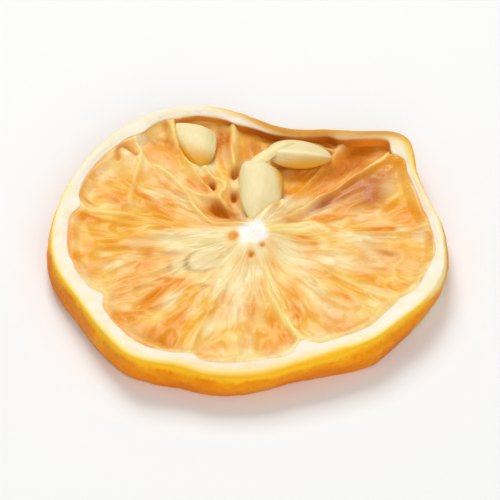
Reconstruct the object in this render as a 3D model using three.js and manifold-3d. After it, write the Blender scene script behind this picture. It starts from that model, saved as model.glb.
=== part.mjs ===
// A dried lemon slice, cut across the fruit, lying on one of its cut faces.
//
// Millimetres, +Z up. The origin is under the middle of the slice, on the surface that it rests on,
// and +X is along its longest reach. Directions round the slice are in degrees from +X, towards +Y.
// The slice is one solid: an upright band of peel, a ring of pith inside it, thin membranes that run
// from the core to the ring, and the flesh between them, which has shrunk below the rim as it dried.
// Three pips lie in pockets of the flesh. Each is a solid of its own.

import * as THREE from "three";
import { ParametricGeometry } from "three/addons/geometries/ParametricGeometry.js";
import { mergeVertices } from "three/addons/utils/BufferGeometryUtils.js";
import Module from "manifold-3d";

const { degToRad, euclideanModulo, lerp, smoothstep } = THREE.MathUtils;

// The band of peel.
const faceRadius = 23.7; // of the upper cut face, before drying pulled it out of round
const rimHeight = 4.2;
const peelBulge = 0.35; // how far the peel swells out half way down
const edgeRounding = 0.45; // where the peel turns into a cut face

// The ring of pith, and the core where the membranes meet.
const pithWidth = 1.9;
const pithSlope = { top: 0.3, under: 0 }; // how far the ring's inner edge lies inside its crown
const wallRun = 0.6; // how far the ring's inner wall leans in on its way down to the flesh
const cuspSpread = 1.5; // of the pith's point where a membrane joins it
const core = { x: 0.7, y: 1.4, radius: 1.9, top: 3.9, under: 0.35 };

// The membranes and the flesh.
const membraneHalfWidth = 0.5;
const membraneSink = { top: 0.45, under: 0.4 }; // how far a membrane's edge lies inside the cut face
const underSink = 0.75; // how far the flesh lies inside the lower cut face
const pleats = { depth: 0.3, count: 2.5 }; // radial folds of the dried flesh, in each segment

// Places where the flesh has torn open (-), or is raised by a pip that it still covers (+): the middle
// of each, how far it goes, its two half widths, and the direction of the wider one.
const dimples = [
  { x: -3.2, y: 5.4, reach: -1.1, along: 2.3, across: 1.2, turn: -10 },
  { x: -14.6, y: 16.2, reach: -0.5, along: 1.4, across: 0.9, turn: 40 },
  { x: -5.5, y: -2.9, reach: 0.45, along: 2.6, across: 1.5, turn: 30 },
];

// Where drying has pushed a measure up (+) or down (-): the direction, how far, and over what spread.
const outlineSwells = [
  { at: 19, reach: -0.4, spread: 9 },
  { at: 43, reach: 2.9, spread: 9 }, // the sharp corner
  { at: 77, reach: -2.4, spread: 17 }, // the flattened back
  { at: 119, reach: 1.8, spread: 22 }, // the shoulder beside it
  { at: 150, reach: 0.3, spread: 16 },
  { at: 186, reach: 0.15, spread: 14 },
  { at: 207, reach: -0.8, spread: 13 },
  { at: 235, reach: 0.65, spread: 7 },
  { at: 245, reach: 0.5, spread: 22 },
  { at: 249.5, reach: -0.6, spread: 6 },
  { at: 275, reach: -0.5, spread: 22 },
  { at: 286, reach: -0.5, spread: 9 },
  { at: 305, reach: -1.3, spread: 18 },
  { at: 309, reach: 0.75, spread: 9 },
  { at: 346, reach: 0.6, spread: 12 },
];
const rimSwells = [
  { at: 43, reach: 0.55, spread: 20 },
  { at: 78, reach: -0.6, spread: 18 },
  { at: 104, reach: 0.3, spread: 16 },
  { at: 136, reach: 0.3, spread: 20 },
  { at: 222, reach: 0.35, spread: 26 },
  { at: 270, reach: -0.3, spread: 18 },
  { at: 318, reach: 0.3, spread: 24 },
];
const pithSwells = [
  { at: 0, reach: -0.6, spread: 9 },
  { at: 25, reach: -0.75, spread: 16 },
  { at: 72, reach: -0.6, spread: 20 },
  { at: 112, reach: -0.5, spread: 9 },
  { at: 145, reach: -0.4, spread: 12 },
  { at: 193, reach: 0.4, spread: 18 },
  { at: 252, reach: -0.7, spread: 6 },
  { at: 268, reach: 1.4, spread: 38 },
  { at: 282, reach: -0.5, spread: 6 },
  { at: 306, reach: 0.4, spread: 8 },
  { at: 324, reach: 0.7, spread: 8 },
  { at: 343, reach: 0.4, spread: 10 },
];
const flareSwells = [
  { at: 60, reach: -0.5, spread: 34 },
  { at: 200, reach: 0.25, spread: 16 },
  { at: 238, reach: -0.7, spread: 9 },
  { at: 256, reach: -0.4, spread: 8 },
  { at: 282, reach: -1.3, spread: 17 },
  { at: 342, reach: -0.5, spread: 16 },
]; // how far the peel's foot stands out past its top

// The slice stands on three flat lands of its foot. Between them the foot is warped up.
const foot = { lift: 0.4, firstLand: 30, lands: 3 };

// Each segment starts at the membrane at this direction. bow is how far, in degrees, that membrane
// bends aside at half its length, cusp how far the pith reaches in along it, and sink how far the
// segment's flesh lies under the rim.
const segments = [
  { from: 5, bow: 2, cusp: 0.2, sink: 1.2 },
  { from: 41, bow: 0, cusp: 1.5, sink: 2.0 },
  { from: 58, bow: -1, cusp: 0.5, sink: 1.8 },
  { from: 94, bow: 4, cusp: 0.7, sink: 1.7 },
  { from: 111, bow: 8, cusp: 0.7, sink: 1.1 },
  { from: 124, bow: 10, cusp: 0.5, sink: 0.9 },
  { from: 163, bow: 5, cusp: 1.0, sink: 0.9 },
  { from: 209, bow: 2, cusp: 1.2, sink: 1.0 },
  { from: 251, bow: -3, cusp: 1.0, sink: 0.8 },
  { from: 290, bow: 0, cusp: 1.2, sink: 0.8 },
  { from: 331, bow: -3, cusp: 1.0, sink: 0.9 },
];

// A pip's middle, the way it points from tip to blunt end (yaw), its lean, its own size, and how
// sharply it narrows to its tip and to its blunt end (the less, the fuller).
const pips = [
  {
    name: "pip_beside_core",
    size: { length: 10.0, width: 5.6, thickness: 2.8 },
    narrowing: { tip: 1.3, blunt: 0.7 },
    at: [1.15, 8.7, 3.4],
    yaw: 85,
    pitch: -3,
    roll: 8,
  },
  {
    name: "pip_back_right",
    size: { length: 8.0, width: 5.2, thickness: 2.8 },
    narrowing: { tip: 0.95, blunt: 1.0 },
    at: [6.35, 15.8, 3.4],
    yaw: -4,
    pitch: 3,
    roll: -8,
  },
  {
    name: "pip_back_left",
    size: { length: 7.4, width: 5.3, thickness: 2.4 },
    narrowing: { tip: 1.0, blunt: 0.4 },
    at: [-6.1, 17.5, 3.1],
    yaw: 99,
    pitch: 5,
    roll: 4,
  },
];
const pipClearance = 0.3;

// How finely each stretch is divided.
const columnsPerSegment = 11;
const columnCrowding = 0.8; // 0 spaces the columns evenly, 1 crowds them at the membranes
const faceRows = { core: 2, flesh: 11, wall: 1, pith: 3, edge: 1 };
const bandRows = 4;
const underRows = { edge: 1, pith: 2, wall: 1, flesh: 8, core: 1 };
const pipColumns = 20;
const pipRows = 14;

const sum = (numbers) => numbers.reduce((total, n) => total + n, 0);

function swellAt(swells, degrees) {
  return sum(
    swells.map(({ at, reach, spread }) => {
      const away = euclideanModulo(degrees - at + 180, 360) - 180;
      return reach * Math.exp(-((away / spread) ** 2));
    }),
  );
}

const rimRadius = (degrees) => faceRadius + swellAt(outlineSwells, degrees);
const rimZ = (degrees) => rimHeight + swellAt(rimSwells, degrees);

// How far the torn and raised places move the upper face at a point.
function dimpleAt(x, y) {
  return sum(
    dimples.map(({ x: middleX, y: middleY, reach, along, across, turn }) => {
      const c = Math.cos(degToRad(turn));
      const s = Math.sin(degToRad(turn));
      const u = (c * (x - middleX) + s * (y - middleY)) / along;
      const v = (c * (y - middleY) - s * (x - middleX)) / across;
      return reach * Math.exp(-(u * u + v * v));
    }),
  );
}

function footZ(degrees) {
  const wave = Math.cos(degToRad(foot.lands * (degrees - foot.firstLand)));
  return foot.lift * Math.max(0, -wave) ** 2;
}

// The point a share g of the way from the core's middle to the rim.
function planPoint(degrees, g, stand = 0) {
  const radius = rimRadius(degrees) + stand;
  const rimX = radius * Math.cos(degToRad(degrees));
  const rimY = radius * Math.sin(degToRad(degrees));
  return {
    x: lerp(core.x, rimX, g),
    y: lerp(core.y, rimY, g),
    reach: Math.hypot(rimX - core.x, rimY - core.y),
  };
}

// The column a share u of the way round, clockwise: its segment, and its share f of the way across it.
const columns = segments.length * columnsPerSegment;
function columnAt(u) {
  const column = Math.round((1 - u) * columns) % columns;
  const index = Math.floor(column / columnsPerSegment);
  const even = (column % columnsPerSegment) / columnsPerSegment;
  const crowded = (columnCrowding / (2 * Math.PI)) * Math.sin(2 * Math.PI * even);
  const start = segments[index];
  const end = segments[(index + 1) % segments.length];
  const span = euclideanModulo(end.from - start.from, 360);
  return { start, end, span, f: even - crowded };
}

function directionAt({ start, end, span, f }, g) {
  return start.from + f * span + lerp(start.bow, end.bow, f) * Math.sin(Math.PI * g);
}

// A point of a cut face. The zone is the core, the flesh, the ring's inner wall, the pith or the
// rounded edge, and t goes from 0 to 1 across it, outwards.
function facePoint(side, column, zone, t) {
  const outer = directionAt(column, 1);
  const { reach } = planPoint(outer, 1);
  const nearest = Math.min(column.f, 1 - column.f);
  const arc = nearest * degToRad(column.span) * reach;
  const membrane = column.f < 0.5 ? column.start : column.end;
  const point = membrane.cusp * Math.exp(-((arc / cuspSpread) ** 2));
  const width = pithWidth + swellAt(pithSwells, outer) + point;
  const marks = {
    core: [0, core.radius / reach],
    flesh: [core.radius / reach, 1 - width / reach],
    wall: [1 - width / reach, 1 - (width - wallRun) / reach],
    pith: [1 - (width - wallRun) / reach, 1 - edgeRounding / reach],
    edge: [1 - edgeRounding / reach, 1],
  };
  const g = lerp(...marks[zone], t);
  const direction = directionAt(column, g);
  const top = side === "top";
  const stand = top ? 0 : swellAt(flareSwells, outer);
  const { x, y } = planPoint(direction, g, stand);

  // How far the surface lies inside the cut face.
  let inside = 0;
  if (zone === "flesh" || zone === "wall") {
    const away = nearest * degToRad(column.span) * reach * g;
    const ridge = Math.exp(-((away / membraneHalfWidth) ** 2));
    const shallow = membraneSink[side];
    const deep = top ? column.start.sink : underSink;
    const fold = Math.sin(Math.PI * pleats.count * column.f + column.start.from) ** 2;
    const sink = lerp(deep + pleats.depth * (fold - 0.5), shallow, ridge);
    const dish = zone === "flesh" ? smoothstep(t, 0, 0.2) : 1 - t;
    inside = sink * dish + (zone === "wall" ? pithSlope[side] * t : 0);
    if (top) inside -= dimpleAt(x, y) * dish;
  } else if (zone === "pith") {
    inside = pithSlope[side] * (1 - t) ** 2;
  } else if (zone === "edge") {
    inside = edgeRounding * t ** 2;
  }
  const faceZ = top
    ? lerp(core.top, rimZ(direction), smoothstep(g, 0, 1))
    : lerp(core.under, footZ(direction), smoothstep(g, 0, 0.8));
  return [x, y, top ? faceZ - inside : faceZ + inside];
}

// A point of the band of peel, from the upper edge (t = 0) to the lower one.
function bandPoint(column, t) {
  const direction = directionAt(column, 1);
  const stand = lerp(0, swellAt(flareSwells, direction), t) + peelBulge * Math.sin(Math.PI * t);
  const { x, y } = planPoint(direction, 1, stand);
  const from = rimZ(direction) - edgeRounding;
  const to = footZ(direction) + edgeRounding;
  return [x, y, lerp(from, to, t)];
}

// The rows of the whole skin: out over the upper face, down the peel, and in under the lower face.
const rows = [
  ...Object.entries(faceRows).flatMap(([zone, count]) =>
    Array.from({ length: count }, (_, k) => ["top", zone, k / count]),
  ),
  ...Array.from({ length: bandRows }, (_, k) => ["band", "peel", k / bandRows]),
  ...Object.entries(underRows).flatMap(([zone, count]) =>
    Array.from({ length: count }, (_, k) => ["under", zone, 1 - k / count]),
  ),
  ["under", "core", 0],
];

function skinPoint(u, v, target) {
  const column = columnAt(u);
  const [side, zone, t] = rows[Math.round(v * (rows.length - 1))];
  target.set(...(side === "band" ? bandPoint(column, t) : facePoint(side, column, zone, t)));
}

// A pip: a flattened drop along X, with its tip at -X, and a blunt keel along its upper side.
function pipGeometry({ size, narrowing }, clearance = 0) {
  const { length, width, thickness } = size;
  const grown = [length, width, thickness].map((size) => size / 2 + clearance);
  const shape = (u, v, target) => {
    const power = lerp(narrowing.tip, narrowing.blunt, v);
    const taper = Math.sin(Math.PI * v) ** power * (1 - 0.22 * Math.cos(Math.PI * v));
    const around = 2 * Math.PI * u;
    const keel = 1 + 0.1 * Math.max(0, Math.sin(around)) ** 6;
    target.set(
      -grown[0] * Math.cos(Math.PI * v),
      grown[1] * taper * Math.cos(around),
      grown[2] * taper * keel * Math.sin(around),
    );
  };
  return new ParametricGeometry(shape, pipColumns, pipRows);
}

const wasm = await Module();
wasm.setup();

// A closed geometry as a manifold solid: its vertices merged by position alone, and no empty faces.
function solidOf(geometry) {
  const bare = new THREE.BufferGeometry();
  bare.setAttribute("position", geometry.getAttribute("position"));
  bare.setIndex(geometry.index);
  const merged = mergeVertices(bare, 1e-3);
  const corners = Array.from(merged.index.array);
  const triVerts = [];
  for (let i = 0; i < corners.length; i += 3) {
    const [a, b, c] = corners.slice(i, i + 3);
    if (a !== b && b !== c && c !== a) triVerts.push(a, b, c);
  }
  return new wasm.Manifold(
    new wasm.Mesh({
      numProp: 3,
      vertProperties: merged.attributes.position.array,
      triVerts: new Uint32Array(triVerts),
    }),
  );
}

function geometryOf(solid) {
  const mesh = solid.getMesh();
  const geometry = new THREE.BufferGeometry();
  geometry.setAttribute("position", new THREE.BufferAttribute(mesh.vertProperties, 3));
  geometry.setIndex(new THREE.BufferAttribute(mesh.triVerts, 1));
  geometry.computeVertexNormals();
  return geometry;
}

function place(object, { at, yaw, pitch, roll }) {
  object.position.set(...at);
  object.rotation.set(degToRad(roll), degToRad(pitch), degToRad(yaw), "ZYX");
  object.updateMatrix();
  return object;
}

const fleshMaterial = new THREE.MeshStandardMaterial({ color: 0xe9a54a, roughness: 0.45, metalness: 0 });
const pipMaterial = new THREE.MeshStandardMaterial({ color: 0xefdca0, roughness: 0.4, metalness: 0 });

const lemonSlice = new THREE.Group();

let body = solidOf(new ParametricGeometry(skinPoint, columns, rows.length - 1));
for (const pip of pips) {
  const pocket = pipGeometry(pip, pipClearance);
  pocket.applyMatrix4(place(new THREE.Object3D(), pip).matrix);
  body = body.subtract(solidOf(pocket));

  const mesh = place(new THREE.Mesh(geometryOf(solidOf(pipGeometry(pip))), pipMaterial), pip);
  mesh.name = pip.name;
  lemonSlice.add(mesh);
}

const slice = new THREE.Mesh(geometryOf(body), fleshMaterial);
slice.name = "slice";
lemonSlice.add(slice);

export default lemonSlice;
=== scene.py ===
import math

import bpy
import numpy as np
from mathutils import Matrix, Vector


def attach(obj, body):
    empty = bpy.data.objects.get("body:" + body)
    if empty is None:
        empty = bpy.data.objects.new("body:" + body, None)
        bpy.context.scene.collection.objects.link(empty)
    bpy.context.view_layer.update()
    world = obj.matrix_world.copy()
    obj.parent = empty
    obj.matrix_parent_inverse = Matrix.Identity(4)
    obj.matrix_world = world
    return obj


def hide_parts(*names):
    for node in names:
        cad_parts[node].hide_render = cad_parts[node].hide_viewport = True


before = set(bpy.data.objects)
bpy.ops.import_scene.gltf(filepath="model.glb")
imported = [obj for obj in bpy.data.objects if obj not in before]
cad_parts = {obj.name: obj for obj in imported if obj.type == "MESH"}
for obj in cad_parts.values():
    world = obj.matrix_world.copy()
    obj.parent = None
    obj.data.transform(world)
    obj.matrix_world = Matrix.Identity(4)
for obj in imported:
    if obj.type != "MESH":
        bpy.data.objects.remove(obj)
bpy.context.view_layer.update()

# A dried lemon slice that lies on a cut face. Lengths are in millimetres until a mesh is made,
# directions are in degrees from +X towards +Y, and +Z is up through the upper cut face.
millimetre = 0.001

# The outline and the faces, as the solids have them: each swell is (direction, reach, spread).
lemon = {
    "faceRadius": 23.7,
    "rimHeight": 4.2,
    "peelBulge": 0.35,
    "edgeRounding": 0.45,
    "outlineSwells": [(19, -0.4, 9), (43, 2.9, 9), (77, -2.4, 17), (119, 1.8, 22), (150, 0.3, 16),
                      (186, 0.15, 14), (207, -0.8, 13), (235, 0.65, 7), (245, 0.5, 22), (249.5, -0.6, 6),
                      (275, -0.5, 22), (286, -0.5, 9), (305, -1.3, 18), (309, 0.75, 9), (346, 0.6, 12)],
    "rimSwells": [(43, 0.55, 20), (78, -0.6, 18), (104, 0.3, 16), (136, 0.3, 20), (222, 0.35, 26),
                  (270, -0.3, 18), (318, 0.3, 24)],
    "flareSwells": [(60, -0.5, 34), (200, 0.25, 16), (238, -0.7, 9), (256, -0.4, 8), (282, -1.3, 17),
                    (342, -0.5, 16)],
    "foot": {"lift": 0.4, "firstLand": 30, "lands": 3},
    "core": {"x": 0.7, "y": 1.4, "radius": 1.9, "top": 3.9, "under": 0.35},
}

# Each segment starts at a membrane: its direction, its bend at half length, how far the pith reaches
# in along it, how plainly it stands out of the flesh, and how far the segment's flesh is sunk.
segments = {
    "starts": [5, 41, 58, 94, 111, 124, 163, 209, 251, 290, 331],
    "bows": [2, 0, -1, 4, 8, 10, 5, 2, -3, 0, -3],
    "cusps": [0.2, 1.5, 0.5, 0.4, 0.4, 0.5, 0.9, 1.0, 0.9, 1.3, 0.4],
    "stands": [0.1, 0.9, 0.2, 0.5, 0.4, 0.2, 0.3, 0.2, 0.2, 0.2, 0.2],
    "sinks": [1.2, 2.0, 1.8, 1.7, 1.1, 0.9, 0.9, 1.0, 0.8, 0.8, 0.9],
}

random = np.random.default_rng(4021)
lattice = random.uniform(-1, 1, (8, 256, 256))
scatter = random.uniform(0.1, 0.9, (3, 256, 256, 2))
tones = random.uniform(-1, 1, (3, 256, 256))


def lerp(a, b, t):
    return a + (b - a) * t


def smoothstep(value, low, high):
    t = np.clip((value - low) / (high - low), 0, 1)
    return t * t * (3 - 2 * t)


def swellAt(swells, degrees):
    # the sum of bell curves round the slice: reach * exp(-(away / spread) ^ 2)
    total = np.zeros_like(degrees, dtype=float)
    for at, reach, spread in swells:
        away = (degrees - at + 180) % 360 - 180
        total += reach * np.exp(-((away / spread) ** 2))
    return total


def alongAcross(x, y, px, py, turn):
    # x and y measured from the place px, py, along a line at the turn, in radians, and across it
    east, north = x - px, y - py
    return math.cos(turn) * east + math.sin(turn) * north, math.cos(turn) * north - math.sin(turn) * east


def patchAt(x, y, patches):
    # the sum of bells over ellipses: amount * exp(-(u^2 + v^2)), u and v measured along and across a
    # line at the patch's turn, which points away from the core unless it is given
    core = lemon["core"]
    total = np.zeros_like(x)
    for px, py, halfLength, halfWidth, amount, *given in patches:
        turn = math.radians(given[0]) if given else math.atan2(py - core["y"], px - core["x"])
        along, across = alongAcross(x, y, px, py, turn)
        u, v = along / halfLength, across / halfWidth
        total += amount * np.exp(-(u * u + v * v))
    return total


def latticeNoise(u, v, layer, around=256):
    # fixed random values at whole (u, v), eased between them; u repeats after "around" steps
    iu, iv = np.floor(u).astype(int), np.floor(v).astype(int)
    fu, fv = smoothstep(u - iu, 0, 1), smoothstep(v - iv, 0, 1)
    table = lattice[layer]
    left, right, low, high = iu % around, (iu + 1) % around, iv % 256, (iv + 1) % 256
    near = lerp(table[left, low], table[right, low], fu)
    return lerp(near, lerp(table[left, high], table[right, high], fu), fv)


def ringNoise(pattern, lap, out, layer, swing=0):
    # lattice noise that closes after one lap of the slice: "around" steps round it, and steps of
    # "length" outwards, counted on from "from"
    around = pattern["around"]
    steps = out / pattern.get("length", 1) + pattern.get("from", 0)
    return pattern["depth"] * latticeNoise(lap * around + swing, steps, layer, around)


def cellNoise(u, v, layer, around=256):
    # one point scattered in each whole cell; gives the distance to the nearest, how much further the
    # second nearest is, and the nearest one's tone
    iu, iv = np.floor(u).astype(int), np.floor(v).astype(int)
    first, second, tone = np.full(u.shape, 9.0), np.full(u.shape, 9.0), np.zeros(u.shape)
    for du in (-1, 0, 1):
        for dv in (-1, 0, 1):
            column, row = (iu + du) % around, (iv + dv) % 256
            spot = scatter[layer][column, row]
            away = np.hypot(iu + du + spot[..., 0] - u, iv + dv + spot[..., 1] - v)
            closer = away < first
            second = np.where(closer, first, np.minimum(second, away))
            tone = np.where(closer, tones[layer][column, row], tone)
            first = np.where(closer, away, first)
    return first, second - first, tone


def ringGrain(radius, angle, along):
    # where the grain is read: round a cylinder and along it, so that it closes after one lap
    angle = angle + 0 * along
    return np.stack([radius * np.cos(angle), radius * np.sin(angle), along + 0 * angle], axis=-1)


def smoothPath(points, count):
    # a Catmull-Rom curve through the points, evenly stepped from each to the next
    points = np.array(points, dtype=float)
    padded = np.concatenate([[2 * points[0] - points[1]], points, [2 * points[-1] - points[-2]]])
    steps = np.linspace(0, len(points) - 1, count)
    k = np.minimum(steps.astype(int), len(points) - 2)
    f = (steps - k)[:, None]
    a, b, c, d = (padded[k + offset] for offset in range(4))
    straight, square, cube = c - a, 2 * a - 5 * b + 4 * c - d, 3 * b - a - 3 * c + d
    return 0.5 * (2 * b + straight * f + square * f ** 2 + cube * f ** 3)


def closedSurface(name, points, poles, attributes):
    # a grid of rows by columns. Columns join round. Rows join round too, unless two poles are given,
    # which close the first and the last row with fans. Attributes are values on the same grid.
    rows, columns = points.shape[:2]
    corner = np.arange(rows * columns).reshape(rows, columns)
    right = np.roll(corner, -1, axis=1)
    if poles is None:
        below, belowRight = np.roll(corner, -1, axis=0), np.roll(right, -1, axis=0)
        quads = np.stack([corner, right, belowRight, below], axis=-1).reshape(-1, 4)
        fans = np.zeros((0, 3), dtype=int)
        vertices = points.reshape(-1, 3)
    else:
        quads = np.stack([corner[:-1], right[:-1], right[1:], corner[1:]], axis=-1).reshape(-1, 4)
        start, end = rows * columns, rows * columns + 1
        first = np.stack([np.full(columns, start), right[0], corner[0]], axis=-1)
        last = np.stack([np.full(columns, end), corner[-1], right[-1]], axis=-1)
        fans = np.concatenate([first, last])
        vertices = np.concatenate([points.reshape(-1, 3), np.array(poles, dtype=float)])
    triangles = np.concatenate([quads[:, [0, 1, 2]], quads[:, [0, 2, 3]], fans])
    a, b, c = (vertices[triangles[:, k]] for k in range(3))
    if np.einsum("ij,ij->i", a, np.cross(b, c)).sum() < 0:
        quads, fans = quads[:, ::-1], fans[:, ::-1]

    mesh = bpy.data.meshes.new(name)
    mesh.vertices.add(len(vertices))
    mesh.vertices.foreach_set("co", (vertices * millimetre).ravel())
    loops = np.concatenate([quads.ravel(), fans.ravel()])
    mesh.loops.add(len(loops))
    mesh.loops.foreach_set("vertex_index", loops.astype(np.int32))
    mesh.polygons.add(len(quads) + len(fans))
    starts = np.concatenate([np.arange(len(quads)) * 4, len(quads) * 4 + np.arange(len(fans)) * 3])
    mesh.polygons.foreach_set("loop_start", starts.astype(np.int32))
    mesh.polygons.foreach_set("use_smooth", np.ones(len(quads) + len(fans), dtype=bool))
    mesh.update(calc_edges=True)
    for key, values in attributes.items():
        ends = [] if poles is None else [values[0].mean(axis=0), values[-1].mean(axis=0)]
        if values.ndim == 2:
            layer = mesh.attributes.new(key, "FLOAT", "POINT")
            layer.data.foreach_set("value", np.append(values.ravel(), ends).astype(np.float32))
        else:
            layer = mesh.attributes.new(key, "FLOAT_VECTOR", "POINT")
            flat = np.concatenate([values.reshape(-1, 3), np.array(ends).reshape(-1, 3)])
            layer.data.foreach_set("vector", flat.ravel().astype(np.float32))
    mesh.validate()
    piece = bpy.data.objects.new(name, mesh)
    bpy.context.collection.objects.link(piece)
    return piece


def dress(piece, material, node):
    piece.data.materials.append(material)
    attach(piece, "root")
    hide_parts(node)


# The slice's own measures, as functions of the direction.

def rimRadius(degrees):
    return lemon["faceRadius"] + swellAt(lemon["outlineSwells"], degrees)


def rimZ(degrees):
    return lemon["rimHeight"] + swellAt(lemon["rimSwells"], degrees)


def footZ(degrees):
    foot = lemon["foot"]
    wave = np.cos(np.radians(foot["lands"] * (degrees - foot["firstLand"])))
    return foot["lift"] * np.maximum(0, -wave) ** 2


def planPoint(degrees, g, stand=0):
    # the point a share g of the way from the core's middle to the rim
    core = lemon["core"]
    radius = rimRadius(degrees) + stand
    x = lerp(core["x"], radius * np.cos(np.radians(degrees)), g)
    y = lerp(core["y"], radius * np.sin(np.radians(degrees)), g)
    return x, y


def columnsRound(count, crowding=0.0):
    # directions from the first membrane on, and for each its segment and its share f of the way across
    # that: f = even - crowding / 2 pi * sin(2 pi * even), so that columns crowd at the membranes
    starts = np.array(segments["starts"], dtype=float)
    spans = np.diff(np.append(starts, starts[0] + 360))
    lap = starts[0] + np.arange(count) * 360 / count
    index = np.searchsorted(starts, lap, side="right") - 1
    following = (index + 1) % len(starts)
    even = (lap - starts[index]) / spans[index]
    f = even - crowding / (2 * np.pi) * np.sin(2 * np.pi * even)
    outer = starts[index] + f * spans[index]
    bows, cusps, stands, sinks = (
        np.array(segments[key], dtype=float) for key in ("bows", "cusps", "stands", "sinks"))
    x, y = planPoint(outer, 1)
    return {
        "outer": outer,
        "f": f,
        "span": spans[index],
        "segment": index,
        "bow": lerp(bows[index], bows[following], f),
        "sink": sinks[index],
        "cusp": np.where(f < 0.5, cusps[index], cusps[following]),
        "stand": np.where(f < 0.5, stands[index], stands[following]),
        "reach": np.hypot(x - lemon["core"]["x"], y - lemon["core"]["y"]),
    }


def directionAt(column, g):
    return column["outer"] + column["bow"] * np.sin(np.pi * g)


pith = {
    "width": 1.9,
    "swells": [(0, -0.6, 9), (25, -0.75, 16), (62, -0.35, 3.5), (72, -0.6, 20), (112, -0.5, 9),
               (145, -0.4, 12), (193, 0.5, 18), (216, 0.2, 12), (237, 0.35, 7), (252, -0.75, 6),
               (266, -0.4, 9), (268, 1.5, 38), (282, -0.5, 6), (306, 0.4, 8), (324, 0.7, 8), (343, 0.4, 10)],
    "slope": 0.3,
    "wallRun": 0.3,
    "cuspSpread": 1.5,
    "waver": [{"around": 70, "depth": 0.09}, {"around": 190, "depth": 0.03}],  # of its inner edge
}


def pithWidth(column):
    # the ring's width, with a point where a membrane joins it
    arc = np.minimum(column["f"], 1 - column["f"]) * np.radians(column["span"]) * column["reach"]
    point = column["cusp"] * np.exp(-((arc / pith["cuspSpread"]) ** 2))
    lap = column["outer"] / 360
    waver = sum(ringNoise(pattern, lap, 0 * lap, 6) for pattern in pith["waver"])
    return pith["width"] + swellAt(pith["swells"], column["outer"]) + point + waver


def faceZ(side, direction, g):
    core = lemon["core"]
    if side == "top":
        return lerp(core["top"], rimZ(direction), smoothstep(g, 0, 1))
    return lerp(core["under"], footZ(direction), smoothstep(g, 0, 0.8))


# The flesh, with the core.

flesh = {
    "columns": 620,
    "crowding": 0.35,
    "topRows": 118,
    "underRows": 40,
    "tuck": 0.8,  # how far it reaches in under the pith
    "underSink": 0.75,
    "deepSinks": (1.2, 1.9),  # between these a segment goes over to being deep
    "ringShares": (0.42, 0.85),  # the share of its sink that it has at the ring, if shallow and if deep
    "coreRun": 4.5,  # how far from the core it reaches its whole sink
    "least": {"core": -0.4, "open": 0.15, "ring": 0.5},  # how far it lies inside the face at least
    "clearance": 0.02,  # between its underside and what the slice lies on
    "shallow": {"top": 0.3, "under": 0.35},  # how far a membrane's edge lies inside the face
    "ridgeHalfWidth": 0.36,
    "membraneHalfWidth": 0.24,
    "bed": {"share": 0.46, "narrowing": 0.35},  # a pip's bed, as a share of the pip, and less at its tip
    # relief: how often round the slice, the length of a step outwards, and the depth
    "folds": {"around": 34, "length": 5.5, "depth": 0.4},
    "sacs": {"around": 62, "length": 4.2, "depth": 0.15},  # dried juice sacs, with standing walls
    "innerSacs": {"around": 34, "length": 4.6, "depth": 0.11},
    "wrinkles": {"around": 170, "length": 3, "depth": 0.022},
    "breaks": {"around": 36, "length": 2.6, "depth": 0.35},  # where a membrane's edge is lost
    "swings": [{"around": 48, "length": 4.2, "depth": 0.7}, {"around": 120, "length": 2, "depth": 0.22}],
    # colour, in the same way
    "blob": {"around": 11, "from": 0.5, "depth": 0.3},  # the core's ragged edge
    "rays": {"around": 44, "length": 9, "depth": 1},
    "fibres": {"around": 170, "length": 5, "depth": 1},
    "milk": {"around": 15, "length": 4.5, "depth": 1},
    "temper": {"around": 23, "length": 5, "depth": 1},  # where the sac walls are pale, and where burnt
    "clouds": [(6, 0.45), (3, 0.8), (1.5, 0.6), (0.75, 0.12)],  # patches that dried unevenly: size, amount
    # along the ring of pith, each (direction, amount, spread)
    "rimLine": [(185, 1, 14), (222, 0.6, 18), (150, 0.6, 20)],
    "rimLineUnder": 0.4,
    "creamy": [(270, 0.7, 34), (320, 0.5, 18), (343, 0.4, 10)],
    "grain": {"radius": 9, "length": 4},
}

# Torn places, and what lies under the flesh or draws it up: x, y, half length, half width, depth (+ is
# down), turn.
dimples = [
    (-2.6, 6.1, 2.1, 1, 1.3, -22), (-3.6, 7.4, 0.7, 0.9, 0.7, 0), (-14.7, 15.6, 0.7, 0.7, -0.3, 0),
    (4.9, 7.6, 2.8, 1.5, -0.95, 55), (3.4, 4.9, 1.6, 0.9, -0.6, 55), (-9.2, 17.6, 0.4, 0.8, 0.4, 0),
    (-1.8, 1.2, 0.55, 0.7, 0.25, 0), (0.4, -1.9, 0.45, 0.6, 0.3, 0), (1.8, -0.55, 0.34, 0.4, 0.2, 0),
    (0.7, 1.4, 1.5, 1.3, -0.25, 0), (-1.55, 13.5, 0.42, 0.8, 1.2, 0), (-4.35, 11.2, 0.4, 0.62, 1.1, 0),
    (-1.65, 9.6, 0.38, 0.8, 1, 0), (-5, 11.2, 0.4, 0.7, 0.35, 30), (-4.95, -2.45, 2.5, 1.6, -0.35, 34),
    (-5.8, 14.4, 1.6, 1.3, -0.7, 0), (-11.4, -9.2, 2.6, 0.5, 0.35, 48), (-13.2, 9.4, 3, 0.45, 0.35, -48),
    (15.8, 2.9, 1.5, 0.3, 0.25, 5), (-21.5, 1.6, 0.4, 0.9, 0.3, 0), (5.3, -8.5, 1.2, 0.8, 0.2),
    (9.4, 18.9, 1.6, 0.5, 0.5, -28), (2.8, 20, 1.2, 0.5, 0.6, -6),
]

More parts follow.
